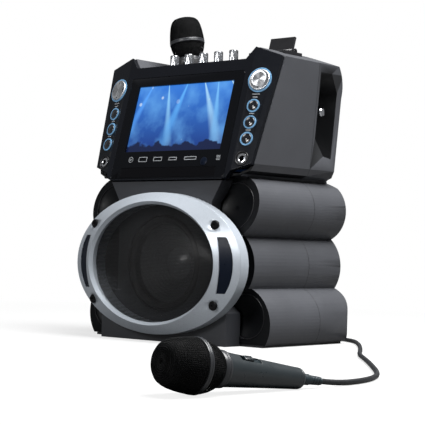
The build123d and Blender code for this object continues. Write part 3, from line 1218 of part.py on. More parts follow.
cord_exit = FLOOR_MIC.origin + mic_dir * (mic_end_s + RELIEF_L)
first_run = (cord_exit.Z - CORD_FLOOR_Z) / sin(nose_down)
touch = cord_exit + mic_dir * first_run
approach = coil_entry + Vector(COIL_APPROACH, 0, 0)
stretch_points = [
    tuple(cord_exit), tuple(touch), *[(x, y, CORD_FLOOR_Z) for x, y in CORD_ROUTE],
    tuple(approach), tuple(coil_entry),
]
stretch_length = tube(stretch_points, "mic_cord")

plug_dir = Vector(*PLUG_WAY, 0).normalized()
plug_start = Vector(*PLUG_PLACE, PLUG_R + FLOOR_AIR)
tail_points = [
    tuple(coil_exit), tuple(coil_exit - Vector(TAIL_RUN, 0, 0)),
    tuple(plug_start - plug_dir * TAIL_RUN), tuple(plug_start),
]
tail_length = tube(tail_points, "cord_tail")
print(f"whole cord {stretch_length + coil_length + tail_length:.0f} mm")

with BuildPart() as mic_plug:
    plug_face = Plane(origin=plug_start, z_dir=plug_dir)
    for at, radius, length in (
        (0, PLUG_R * 0.6, PLUG_L), (6, PLUG_R, PLUG_L - 6), (PLUG_L, PLUG_PIN_R, PLUG_PIN_L - 3),
        (PLUG_L, PLUG_PIN_R * 0.6, PLUG_PIN_L),
    ):
        with BuildSketch(plug_face.offset(at)):
            Circle(radius)
        extrude(amount=length)
keep(mic_plug, "mic_plug")

with BuildPart() as cord_tie:
    low_r = COIL_OUT_R - COIL_TURNS * COIL_PITCH - CORD_R - TIE_SLACK - 2 * AIR
    high_r = COIL_OUT_R + CORD_R + AIR
    low_z, high_z = COIL_Z - CORD_R - AIR, COIL_Z + COIL_LAYER + CORD_R + AIR
    with BuildSketch(Plane.YZ.offset(COIL_CENTRE[0] - TIE_W / 2)):
        with Locations((COIL_CENTRE[1] + (low_r + high_r) / 2, (low_z + high_z) / 2)):
            Rectangle(high_r - low_r + 2 * TIE_T, high_z - low_z + 2 * TIE_T)
            Rectangle(high_r - low_r, high_z - low_z, mode=Mode.SUBTRACT)
    extrude(amount=TIE_W)
keep(cord_tie, "cord_tie")
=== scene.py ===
"""Dressed model of a table-top karaoke machine with a disc tray.

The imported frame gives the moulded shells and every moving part.  This script
gives each visible piece its finish, remakes the turned and woven pieces in
finer detail, lays the microphone cord, and sets the floor, lights and camera.
"""
from __future__ import annotations

import json
import logging
import math
from dataclasses import dataclass, field
from enum import Enum
from typing import Iterable, Sequence

import bmesh
import bpy
from mathutils import Matrix, Vector

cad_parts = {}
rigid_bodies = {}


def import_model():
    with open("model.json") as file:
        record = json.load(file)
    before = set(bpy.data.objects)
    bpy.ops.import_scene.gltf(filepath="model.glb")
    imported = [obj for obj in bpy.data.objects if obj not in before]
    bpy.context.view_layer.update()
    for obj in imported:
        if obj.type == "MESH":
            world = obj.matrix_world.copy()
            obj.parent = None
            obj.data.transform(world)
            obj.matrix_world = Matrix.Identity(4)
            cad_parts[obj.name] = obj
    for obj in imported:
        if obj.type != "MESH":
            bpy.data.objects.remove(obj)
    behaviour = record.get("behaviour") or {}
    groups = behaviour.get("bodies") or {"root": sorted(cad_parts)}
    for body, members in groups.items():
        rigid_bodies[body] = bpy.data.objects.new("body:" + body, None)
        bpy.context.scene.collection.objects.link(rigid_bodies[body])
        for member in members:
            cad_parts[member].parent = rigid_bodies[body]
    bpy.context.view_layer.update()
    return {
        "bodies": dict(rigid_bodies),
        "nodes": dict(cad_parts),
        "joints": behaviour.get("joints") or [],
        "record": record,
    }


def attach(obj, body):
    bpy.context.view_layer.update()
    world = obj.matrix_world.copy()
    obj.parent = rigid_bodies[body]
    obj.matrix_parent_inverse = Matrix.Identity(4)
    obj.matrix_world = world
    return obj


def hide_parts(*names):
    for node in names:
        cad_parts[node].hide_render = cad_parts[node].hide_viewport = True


MM = 0.001
LOG = logging.getLogger("karaoke_machine")

Colour = tuple[float, float, float]
Profile = Sequence[tuple[float, float]]


class Side(Enum):
    """Side of the machine as seen from its front."""

    LEFT = -1
    RIGHT = 1

    @property
    def word(self) -> str:
        """Lower-case name used in piece names."""
        return self.name.lower()


# ------------------------------------------------------------------ node graph
class Graph:
    """One material's node tree, wired from a Principled shader outwards."""

    def __init__(self, name: str) -> None:
        """Start an empty material.

        Args:
            name: name of the material.
        """
        self.material = bpy.data.materials.new(name)
        self.material.use_nodes = True
        self.tree = self.material.node_tree
        self.tree.nodes.clear()
        self.output = self.tree.nodes.new("ShaderNodeOutputMaterial")
        self.shader = self.node("ShaderNodeBsdfPrincipled")
        self.join(self.shader.outputs[0], self.output.inputs["Surface"])
        self.place = self.node("ShaderNodeTexCoord").outputs["Object"]

    def node(self, kind: str, inputs: dict | None = None, **settings: object) -> bpy.types.Node:
        """Add a node.

        Args:
            kind: Blender's name for the node type.
            inputs: values or sockets for its inputs, by name or number.
            settings: properties set on the node itself.

        Returns:
            The new node.
        """
        made = self.tree.nodes.new(kind)
        for key, value in settings.items():
            setattr(made, key, value)
        for key, value in (inputs or {}).items():
            if isinstance(value, bpy.types.NodeSocket):
                self.join(value, made.inputs[key])
            else:
                made.inputs[key].default_value = value
        return made

    def join(self, source: bpy.types.NodeSocket, target: bpy.types.NodeSocket) -> None:
        """Link two sockets."""
        self.tree.links.new(source, target)

    def set(self, **values: object) -> None:
        """Set or link inputs of the Principled shader, with underscores for spaces."""
        for key, value in values.items():
            socket = self.shader.inputs[key.replace("_", " ")]
            if isinstance(value, bpy.types.NodeSocket):
                self.join(value, socket)
            else:
                socket.default_value = value

    def noise(self, scale: float, detail: float = 2.0, at: bpy.types.NodeSocket | None = None,
              roughness: float = 0.5) -> bpy.types.NodeSocket:
        """Noise value in object space."""
        made = self.node("ShaderNodeTexNoise", {
            "Vector": at or self.place, "Scale": scale, "Detail": detail, "Roughness": roughness,
        })
        return made.outputs["Fac"]

    def span(self, value: bpy.types.NodeSocket, low: float, high: float,
             from_low: float = 0.0, from_high: float = 1.0) -> bpy.types.NodeSocket:
        """Value moved from one range to another, and held inside it."""
        made = self.node("ShaderNodeMapRange", {
            "Value": value, "From Min": from_low, "From Max": from_high, "To Min": low, "To Max": high,
        })
        return made.outputs["Result"]

    def math(self, operation: str, a: object, b: object = 0.0) -> bpy.types.NodeSocket:
        """One arithmetic step."""
        return self.node("ShaderNodeMath", {0: a, 1: b}, operation=operation).outputs[0]

    def blend(self, factor: object, low: object, high: object) -> bpy.types.NodeSocket:
        """Mix of two colours."""
        made = self.node("ShaderNodeMix", data_type="RGBA")
        for number, value in ((0, factor), (6, low), (7, high)):
            if isinstance(value, bpy.types.NodeSocket):
                self.join(value, made.inputs[number])
            else:
                made.inputs[number].default_value = value if number == 0 else (*value, 1.0)
        return made.outputs[2]

    def axes(self, at: bpy.types.NodeSocket | None = None) -> dict[str, bpy.types.NodeSocket]:
        """X, Y and Z of a place as three values."""
        made = self.node("ShaderNodeSeparateXYZ", {0: at or self.place})
        return {name: made.outputs[name] for name in "XYZ"}

    def turned(self, matrix: Matrix) -> bpy.types.NodeSocket:
        """Object coordinates seen from a frame.

        Args:
            matrix: where the frame stands.

        Returns:
            The coordinates in that frame.
        """
        move = self.node("ShaderNodeVectorMath", {0: self.place, 1: matrix.translation}, operation="SUBTRACT")
        turn = matrix.to_3x3().inverted().to_euler()
        rotate = self.node("ShaderNodeVectorRotate", {
            "Vector": move.outputs[0], "Rotation": turn,
        }, rotation_type="EULER_XYZ")
        return rotate.outputs[0]

    def soft_normal(self, radius: float, height: bpy.types.NodeSocket | None = None,
                    depth: float = 0.0) -> bpy.types.NodeSocket:
        """Normal with eased corners and, if given, a relief.

        Args:
            radius: radius of the eased corners, in metres.
            height: relief from 0 to 1.
            depth: real depth of the relief, in metres.

        Returns:
            The normal.
        """
        eased = self.node("ShaderNodeBevel", {"Radius": radius}, samples=4).outputs[0]
        if height is None:
            return eased
        return self.node("ShaderNodeBump", {
            "Height": height, "Distance": depth, "Strength": 1.0, "Normal": eased,
        }).outputs[0]


# -------------------------------------------------------------------- finishes
@dataclass(frozen=True)
class Moulding:
    """Moulded plastic with a fine spark-eroded grain."""

    name: str
    colour: Colour
    roughness: float = 0.45
    grain: float = 1400.0
    grain_depth: float = 0.00002
    mottle: float = 0.10
    gloss: float = 0.5
    coat: float = 0.0
    edge: float = 0.0006
    seam: bool = False

    def build(self) -> bpy.types.Material:
        """Wire the material."""
        graph = Graph(self.name)
        cloud = graph.noise(14.0, 3.0)
        dark = tuple(c * (1 - self.mottle) for c in self.colour)
        light = tuple(min(1.0, c * (1 + self.mottle)) for c in self.colour)
        colour = graph.blend(graph.span(cloud, 0.0, 1.0, 0.3, 0.7), dark, light)
        relief = graph.noise(self.grain, 1.0)
        if self.seam:
            gap = graph.math("ABSOLUTE", graph.math("SUBTRACT", graph.axes()["Y"], SEAM_Y * MM))
            line = graph.span(gap, 1.0, 0.0, 0.0002, 0.0007)
            colour = graph.blend(line, colour, tuple(c * 0.25 for c in self.colour))
        smear = graph.noise(160.0, 4.0)
        rough = graph.span(smear, self.roughness * 0.88, self.roughness * 1.12, 0.3, 0.7)
        graph.set(
            Base_Color=colour, Roughness=rough, Coat_Weight=self.coat, Coat_Roughness=0.08,
            Normal=graph.soft_normal(self.edge, relief, self.grain_depth),
        )
        graph.shader.inputs["Specular IOR Level"].default_value = self.gloss
        return graph.material


@dataclass(frozen=True)
class SilverPaint:
    """Silver paint with fine flakes under a satin lacquer."""

    name: str
    colour: Colour
    roughness: float = 0.34

    def build(self) -> bpy.types.Material:
        """Wire the material."""
        graph = Graph(self.name)
        flakes = graph.node("ShaderNodeTexVoronoi", {"Vector": graph.place, "Scale": 2600.0})
        flake = graph.node("ShaderNodeSeparateXYZ", {0: flakes.outputs["Color"]}).outputs[0]
        cloud = graph.noise(30.0, 3.0)
        low = tuple(c * 0.86 for c in self.colour)
        high = tuple(min(1.0, c * 1.12) for c in self.colour)
        colour = graph.blend(graph.math("ADD", graph.math("MULTIPLY", flake, 0.6),
                                        graph.math("MULTIPLY", cloud, 0.4)), low, high)
        graph.set(
            Base_Color=colour, Metallic=0.25, Coat_Weight=0.35, Coat_Roughness=0.2,
            Roughness=graph.span(flake, self.roughness * 0.8, self.roughness * 1.25),
            Normal=graph.soft_normal(0.0008, graph.noise(900.0, 2.0), 0.00001),
        )
        return graph.material


@dataclass(frozen=True)
class Plating:
    """Bright plated or polished metal with faint polishing marks."""

    name: str
    colour: Colour
    roughness: float = 0.12
    marks: float = 600.0

    def build(self) -> bpy.types.Material:
        """Wire the material."""
        graph = Graph(self.name)
        smear = graph.noise(self.marks, 4.0)
        cloud = graph.noise(90.0, 2.0)
        low = tuple(c * 0.9 for c in self.colour)
        colour = graph.blend(graph.span(cloud, 0.0, 1.0, 0.35, 0.65), low, self.colour)
        graph.set(
            Base_Color=colour, Metallic=1.0,
            Roughness=graph.span(smear, self.roughness * 0.7, self.roughness * 1.5, 0.3, 0.7),
            Normal=graph.soft_normal(0.0003),
        )
        return graph.material


@dataclass(frozen=True)
class SpunMetal:
    """Radially brushed metal, whose glints fan out from the middle."""

    name: str
    colour: Colour
    roughness: float = 0.28

    def build(self) -> bpy.types.Material:
        """Wire the material; the brush marks follow the piece's own UV map."""
        graph = Graph(self.name)
        along = graph.node("ShaderNodeUVMap", uv_map=UV_NAME).outputs[0]
        stretch = graph.node("ShaderNodeMapping", {"Vector": along, "Scale": (2.0, 160.0, 1.0)}).outputs[0]
        lines = graph.noise(4.0, 3.0, at=stretch)
        low = tuple(c * 0.72 for c in self.colour)
        colour = graph.blend(graph.span(lines, 0.0, 1.0, 0.3, 0.7), low, self.colour)
        tangent = graph.node("ShaderNodeTangent", direction_type="UV_MAP", uv_map=UV_NAME).outputs[0]
        graph.set(
            Base_Color=colour, Metallic=1.0, Anisotropic=0.85, Tangent=tangent,
            Roughness=graph.span(lines, self.roughness * 0.85, self.roughness * 1.2, 0.3, 0.7),
        )
        return graph.material


@dataclass(frozen=True)
class GlowRing:
    """Milky ring lit from behind."""

    name: str
    colour: Colour
    strength: float = 0.8

    def build(self) -> bpy.types.Material:
        """Wire the material."""
        graph = Graph(self.name)
        uneven = graph.noise(120.0, 2.0)
        glow = graph.blend(graph.span(uneven, 0.0, 1.0, 0.3, 0.7),
                           tuple(c * 0.62 for c in self.colour), self.colour)
        graph.set(
            Base_Color=glow, Roughness=0.25, Emission_Color=glow, Emission_Strength=self.strength,
            Normal=graph.soft_normal(0.0004),
        )
        return graph.material


@dataclass(frozen=True)
class StageLights:
    """Lit screen: blue stage beams over a soft haze with round bokeh."""

    name: str
    strength: float = 1.0
    beams: Sequence[tuple[float, float, float, Colour]] = (
        (-52.0, 24.0, 0.13, (0.10, 0.38, 1.00)),
        (-30.0, -12.0, 0.10, (0.30, 0.66, 1.00)),
        (4.0, 16.0, 0.15, (0.12, 0.46, 1.00)),
        (26.0, -26.0, 0.12, (0.42, 0.74, 1.00)),
        (50.0, -8.0, 0.11, (0.20, 0.56, 1.00)),
        (66.0, -38.0, 0.09, (0.52, 0.82, 1.00)),
    )

    def build(self) -> bpy.types.Material:
        """Wire the material in the frame of the leaning screen."""
        graph = Graph(self.name)
        view = graph.turned(HEAD.matrix())
        flat = graph.axes(view)
        height = graph.span(flat["Y"], 0.0, 1.0, SCREEN_LOW * MM, SCREEN_HIGH * MM)
        picture = graph.blend(height, (0.006, 0.030, 0.20), (0.035, 0.20, 0.72))
        haze = graph.span(graph.noise(26.0, 4.0, at=view), 0.0, 0.75, 0.42, 0.78)
        picture = graph.blend(haze, picture, (0.16, 0.48, 0.95))
        for x, angle, spread, colour in self.beams:
            picture = self.beam(graph, view, picture, (x, angle, spread), colour)
        for scale, size, colour in ((62.0, 0.20, (0.75, 0.88, 1.0)), (38.0, 0.16, (0.35, 0.62, 1.0))):
            dots = graph.node("ShaderNodeTexVoronoi", {"Vector": view, "Scale": scale, "Randomness": 0.9})
            disc = graph.span(dots.outputs["Distance"], 0.55, 0.0, size * 0.8, size)
            chosen = graph.span(graph.node("ShaderNodeSeparateXYZ", {0: dots.outputs["Color"]}).outputs[0],
                                0.0, 1.0, 0.55, 0.6)
            picture = graph.blend(graph.math("MULTIPLY", disc, chosen), picture, colour)
        crowd = graph.noise(70.0, 2.0, at=view)
        line = graph.math("ADD", graph.math("MULTIPLY", crowd, 0.024), (SCREEN_LOW - 2.0) * MM)
        below = graph.span(graph.math("SUBTRACT", flat["Y"], line), 1.0, 0.0, -0.0012, 0.0012)
        picture = graph.blend(below, picture, (0.004, 0.010, 0.05))
        graph.set(
            Base_Color=(0.004, 0.006, 0.012, 1.0), Roughness=0.16, Emission_Color=picture,
            Emission_Strength=self.strength,
        )
        return graph.material

    def beam(self, graph: Graph, view: bpy.types.NodeSocket, picture: bpy.types.NodeSocket,
             shape: tuple[float, float, float], colour: Colour) -> bpy.types.NodeSocket:
        """Lay one light beam over the picture.

        Args:
            graph: material's graph.
            view: coordinates in the screen's plane.
            picture: colour so far.
            shape: place of the lamp along the top edge in mm, angle in degrees, and spread.
            colour: colour of the beam.

        Returns:
            The colour with the beam on it.
        """
        x, angle, spread = shape
        lamp = Matrix.Translation((x * MM, (SCREEN_HIGH + 8.0) * MM, 0.0))
        move = graph.node("ShaderNodeVectorMath", {0: view, 1: lamp.translation}, operation="SUBTRACT").outputs[0]
        turn = graph.node("ShaderNodeVectorRotate", {"Vector": move, "Angle": math.radians(angle)},
                          rotation_type="Z_AXIS").outputs[0]
        local = graph.axes(turn)
        down = graph.math("MAXIMUM", graph.math("MULTIPLY", local["Y"], -1.0), 0.0005)
        across = graph.math("DIVIDE", graph.math("ABSOLUTE", local["X"]), graph.math("MULTIPLY", down, spread))
        shade = graph.span(across, 1.0, 0.0, 0.25, 1.0)
        fade = graph.span(down, 0.95, 0.12, 0.01, 0.10)
        return graph.blend(graph.math("MULTIPLY", shade, fade), picture, colour)


@dataclass(frozen=True)
class FineMesh:
    """Perforated speaker mesh, see-through at its holes."""

    name: str
    colour: Colour
    pitch: float = 0.0016
    hole: float = 0.38

    def build(self) -> bpy.types.Material:
        """Wire the material; the holes lie on a staggered grid across the front."""
        graph = Graph(self.name)
        flat = graph.axes()
        rows = graph.math("DIVIDE", flat["Z"], self.pitch)
        odd = graph.math("MULTIPLY", graph.math("MODULO", graph.math("ABSOLUTE", graph.math("FLOOR", rows)), 2.0), 0.5)
        columns = graph.math("ADD", graph.math("DIVIDE", flat["X"], self.pitch), odd)
        across = graph.math("SUBTRACT", graph.math("FRACT", graph.math("ADD", columns, 500.0)), 0.5)
        up = graph.math("SUBTRACT", graph.math("FRACT", graph.math("ADD", rows, 500.0)), 0.5)
        radius = graph.math("SQRT", graph.math("ADD", graph.math("MULTIPLY", across, across),
                                               graph.math("MULTIPLY", up, up)))
        solid = graph.span(radius, 0.0, 1.0, self.hole, self.hole + 0.06)
        band = graph.span(graph.noise(60.0, 2.0), 0.85, 1.2, 0.3, 0.7)
        colour = graph.node("ShaderNodeVectorMath", {0: (*self.colour,), "Scale": band}, operation="SCALE").outputs[0]
        graph.set(
            Base_Color=colour, Roughness=0.42, Alpha=solid,
            Normal=graph.node("ShaderNodeBump", {"Height": solid, "Distance": 0.0002}).outputs[0],
        )
        return graph.material


@dataclass(frozen=True)
class ConePaper:
    """Pressed paper of the woofer's cone, with concentric ribs and fibres."""

    name: str
    colour: Colour

    def build(self) -> bpy.types.Material:
        """Wire the material."""
        graph = Graph(self.name)
        flat = graph.axes()
        up = graph.math("SUBTRACT", flat["Z"], SPEAKER_Z * MM)
        radius = graph.math("SQRT", graph.math("ADD", graph.math("MULTIPLY", flat["X"], flat["X"]),
                                               graph.math("MULTIPLY", up, up)))
        rib = graph.math("SINE", graph.math("MULTIPLY", radius, 1900.0))
        fibre = graph.noise(700.0, 5.0)
        colour = graph.blend(graph.span(fibre, 0.0, 1.0, 0.3, 0.7), tuple(c * 0.7 for c in self.colour), self.colour)
        relief = graph.math("ADD", graph.math("MULTIPLY", rib, 0.5), fibre)
        graph.set(
            Base_Color=colour, Roughness=0.48,
            Normal=graph.node("ShaderNodeBump", {"Height": relief, "Distance": 0.0003}).outputs[0],
        )
        return graph.material


@dataclass(frozen=True)
class SoftRubber:
    """Dull rubber with a dusty bloom."""

    name: str
    colour: Colour
    roughness: float = 0.6

    def build(self) -> bpy.types.Material:
        """Wire the material."""
        graph = Graph(self.name)
        bloom = graph.noise(220.0, 4.0)
        colour = graph.blend(graph.span(bloom, 0.0, 1.0, 0.35, 0.7), self.colour,
                             tuple(min(1.0, c * 1.5 + 0.004) for c in self.colour))
        graph.set(
            Base_Color=colour, Roughness=graph.span(bloom, self.roughness * 0.85, self.roughness * 1.1),
            Normal=graph.soft_normal(0.0004, graph.noise(2400.0, 1.0), 0.00002),
        )
        return graph.material


UV_NAME = "turning"
SEAM_Y = 38.0
SPEAKER_Z = 93.0
SCREEN_LOW, SCREEN_HIGH = 35.3, 121.6

LEAN = math.radians(15.6)
CANT = math.radians(10.5)
HEAD_NORMAL = Vector((0.0, -math.cos(LEAN), math.sin(LEAN)))
HEAD_UP = Vector((0.0, math.sin(LEAN), math.cos(LEAN)))


@dataclass(frozen=True)
class Face:
    """Flat face of the machine: an origin in mm, a direction across and one outwards."""

    origin: Vector
    across: Vector
    out: Vector

    def matrix(self, x: float = 0.0, y: float = 0.0, z: float = 0.0) -> Matrix:
        """Place on the face, in metres.

        Args:
            x: distance across, in mm.
            y: distance up the face, in mm.
            z: distance out of the face, in mm.

        Returns:
            Matrix that stands a shape there, with its Z axis outwards.
        """
        up = self.out.cross(self.across)
        spot = (self.origin + self.across * x + up * y + self.out * z) * MM
        turn = Matrix((self.across, up, self.out)).transposed().to_4x4()
        return Matrix.Translation(spot) @ turn


def wing_face(side: Side) -> Face:
    """Face of one canted wing of the head."""
    s = side.value
    across = Vector((math.cos(CANT), 0.0, 0.0)) - HEAD_NORMAL * (s * math.sin(CANT))
    out = HEAD_NORMAL * math.cos(CANT) + Vector((s * math.sin(CANT), 0.0, 0.0))
    return Face(Vector((s * 100.0, -83.0, 194.0)), across, out)


HEAD = Face(Vector((0.0, -83.0, 194.0)), Vector((1.0, 0.0, 0.0)), HEAD_NORMAL)
FRONT = Face(Vector((0.0, 0.0, 0.0)), Vector((1.0, 0.0, 0.0)), Vector((0.0, -1.0, 0.0)))
DECK = Face(Vector((0.0, 0.0, 336.0)), Vector((1.0, 0.0, 0.0)), Vector((0.0, 0.0, 1.0)))
BACK = Face(Vector((0.0, 103.0, 0.0)), Vector((-1.0, 0.0, 0.0)), Vector((0.0, 1.0, 0.0)))


class Finish(Enum):
    """Every finish on the machine, built once and kept."""

    SHELL = Moulding("shell_satin", (0.072, 0.075, 0.084), 0.42, seam=True)
    LOBE_END = Moulding("lobe_end_black", (0.0045, 0.005, 0.006), 0.4, gloss=0.14)
    RING_SCREW = Moulding("ring_screw_black", (0.005, 0.005, 0.006), 0.45, gloss=0.15)
    # Painted shade: the side recess walls get this darker colour in place of the shade that falls in them.
    RECESS = Moulding("recess_satin", (0.016, 0.017, 0.019), 0.5)
    COLUMN = Moulding("column_satin", (0.040, 0.042, 0.048), 0.42)
    WING = Moulding("wing_gloss", (0.006, 0.007, 0.010), 0.22, 900.0, 0.000004, gloss=0.22, edge=0.0008)
    BEZEL = Moulding("bezel_gloss", (0.003, 0.0035, 0.005), 0.14, 900.0, 0.000002, gloss=0.18, edge=0.0008)
    TRAY = Moulding("tray_front_gloss", (0.002, 0.002, 0.003), 0.2, gloss=0.16)
    DECK_TOP = Moulding("deck_satin", (0.022, 0.023, 0.027), 0.4)
    BLACK_TRIM = Moulding("trim_black", (0.012, 0.012, 0.014), 0.35)
    DRIVE = Moulding("drive_black", (0.03, 0.03, 0.033), 0.55)
    BUTTON = Moulding("button_gloss", (0.004, 0.005, 0.008), 0.06, 900.0, 0.000001, gloss=0.6, coat=0.6)
    WINDOW = Moulding("window_smoke", (0.004, 0.007, 0.016), 0.3, 900.0, 0.000001, gloss=0.12)
    MARK = Moulding("mark_grey", (0.42, 0.44, 0.46), 0.5, edge=0.0001)
    DARK_MARK = Moulding("mark_dark", (0.008, 0.009, 0.012), 0.3, edge=0.0001)
    SILVER = SilverPaint("ring_silver", (0.50, 0.545, 0.60))
    CHROME = Plating("chrome", (0.83, 0.85, 0.88))
    KNOB = Plating("knob_chrome", (0.62, 0.64, 0.67), 0.2)
    KNOB_DARK = Plating("knob_flute_dark", (0.05, 0.05, 0.055), 0.4)
    STEEL = Plating("steel", (0.45, 0.46, 0.49), 0.3)
    BRASS = Plating("plated_brass", (0.75, 0.58, 0.28), 0.22)
    PAD = SpunMetal("pad_spun", (0.86, 0.88, 0.91))
    HALO = GlowRing("halo_blue", (0.15, 0.32, 0.52), 0.32)
    SCREEN = StageLights("screen_stage")
    GRILLE = FineMesh("grille_mesh", (0.005, 0.005, 0.006))
    CONE = ConePaper("cone_paper", (0.075, 0.078, 0.085))
    CAP = Moulding("dust_cap", (0.12, 0.125, 0.135), 0.25, gloss=0.9)
    RUBBER = SoftRubber("rubber_black", (0.012, 0.012, 0.013))
    CORD = SoftRubber("cord_black", (0.010, 0.011, 0.013), 0.42)
    BOOT = SoftRubber("boot_dark", (0.012, 0.022, 0.027), 0.45)
    MIC_WIRE = Moulding("mic_wire_black", (0.0035, 0.004, 0.0045), 0.5, gloss=0.1)
    MIC_FOAM = SoftRubber("mic_foam", (0.002, 0.002, 0.0025), 0.9)
    MIC_BODY = Moulding("mic_gunmetal", (0.022, 0.029, 0.033), 0.3, 1800.0, 0.00001, gloss=0.7)
    MIC_COLLAR = Moulding("mic_collar", (0.035, 0.037, 0.042), 0.32, gloss=0.6)
    MIC_SWITCH = Moulding("mic_switch_dark", (0.010, 0.018, 0.022), 0.3)
    BOARD = Moulding("board_green", (0.02, 0.12, 0.05), 0.4)
    SUPPLY = Moulding("supply_grey", (0.25, 0.26, 0.27), 0.5)

    def material(self) -> bpy.types.Material:
        """The finish's material, built on first use."""
        kept = bpy.data.materials.get(self.value.name)
        return kept or self.value.build()


# ---------------------------------------------------------------- mesh helpers
def turned_form(profile: Profile, steps: int = 64) -> bmesh.types.BMesh:
    """Shape turned about Z.

    Args:
        profile: (radius, height) points in mm; closed by its ends on the axis or on each other.
        steps: number of sides.

    Returns:
        A bmesh with its faces outwards and a UV map along the turning.
    """
    form = bmesh.new()
    line = [form.verts.new((r * MM, 0.0, z * MM)) for r, z in profile]
    edges = [form.edges.new(pair) for pair in zip(line, line[1:])]
    bmesh.ops.spin(
        form, geom=line + edges, cent=(0, 0, 0), axis=(0, 0, 1), angle=2 * math.pi, steps=steps,
        use_merge=True, use_normal_flip=False, use_duplicate=False,
    )
    bmesh.ops.remove_doubles(form, verts=form.verts, dist=1e-6)
    bmesh.ops.recalc_face_normals(form, faces=form.faces)
    layer = form.loops.layers.uv.new(UV_NAME)
    for face in form.faces:
        middle = face.calc_center_median()
        base = math.atan2(middle.y, middle.x)
        for loop in face.loops:
            spot = loop.vert.co
            angle = math.atan2(spot.y, spot.x) if spot.xy.length > 1e-7 else base
            angle = base + math.remainder(angle - base, 2 * math.pi)
            loop[layer].uv = (angle / (2 * math.pi) + 0.5, spot.xy.length / 0.05)
    return form


def block(size: tuple[float, float, float], edge: float = 0.3, segments: int = 2) -> bmesh.types.BMesh:
    """Block with eased edges that stands on the plane z = 0.

    Args:
        size: width, height and thickness in mm.
        edge: width of the easing in mm.
        segments: steps of the easing.

    Returns:
        A bmesh.
    """
    form = bmesh.new()
    bmesh.ops.create_cube(form, size=1.0)
    bmesh.ops.scale(form, vec=tuple(s * MM for s in size), verts=form.verts)
    bmesh.ops.translate(form, vec=(0, 0, size[2] * MM / 2), verts=form.verts)
    if edge:
        bmesh.ops.bevel(
            form, geom=form.edges[:], offset=edge * MM, segments=segments, profile=0.5, affect="EDGES", material=-1,
        )
    return form


def joined(forms: Iterable[bmesh.types.BMesh], places: Iterable[Matrix]) -> bmesh.types.BMesh:
    """Several shapes as one bmesh, each moved to its place."""
    whole = bmesh.new()
    scratch = bpy.data.meshes.new("scratch")
    for form, place in zip(forms, places):
        form.transform(place)
        form.to_mesh(scratch)
        form.free()
        whole.from_mesh(scratch)
        scratch.clear_geometry()
    bpy.data.meshes.remove(scratch)
    return whole


def place_piece(name: str, form: bmesh.types.BMesh, finish: Finish, body: str = "cabinet",
                place: Matrix | None = None, stands_for: Sequence[str] = (),
                crease: float = 35.0) -> bpy.types.Object:
    """Turn a bmesh into a finished piece.

    Args:
        name: name of the piece.
        form: its shape; it is freed.
        finish: its finish.
        body: CAD body it rides on.
        place: where it stands.
        stands_for: CAD nodes that it replaces.
        crease: angle in degrees past which an edge stays sharp.

    Returns:
        The new object.
    """
    if place is not None:
        form.transform(place)
    mesh = bpy.data.meshes.new(name)
    form.to_mesh(mesh)
    form.free()
    mesh.shade_smooth()
    mesh.set_sharp_from_angle(angle=math.radians(crease))
    mesh.materials.append(finish.material())
    piece = bpy.data.objects.new(name, mesh)
    bpy.context.scene.collection.objects.link(piece)
    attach(piece, body)
    if stands_for:
        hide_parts(*stands_for)
    LOG.info("%s: %d faces, on %s", name, len(mesh.polygons), body)
    return piece


def eased_copy(frame: dict, node: str, finish: Finish, body: str, easing: float = 0.0,
               crease: float = 28.0) -> bpy.types.Object:
    """Smooth-shaded copy of a CAD node that stands for it.

    Args:
        frame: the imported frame.
        node: name of the CAD node.
        finish: finish of the copy.
        body: body that the node belongs to.
        easing: width in mm of a real bevel on its sharp edges, or 0.
        crease: angle in degrees past which an edge stays sharp.

    Returns:
        The new object.
    """
    form = bmesh.new()
    form.from_mesh(frame["nodes"][node].data)
    bmesh.ops.remove_doubles(form, verts=form.verts, dist=2e-6)
    if easing:
        bmesh.ops.dissolve_limit(form, angle_limit=math.radians(0.6), verts=form.verts, edges=form.edges)
    piece = place_piece(f"{node}_shell", form, finish, body, None, (node,), crease)
    if easing:
        bevel = piece.modifiers.new("eased_edges", "BEVEL")
        bevel.width = easing * MM
        bevel.segments = 2
        bevel.limit_method = "ANGLE"
        bevel.angle_limit = math.radians(40.0)
        bevel.harden_normals = False
    return piece


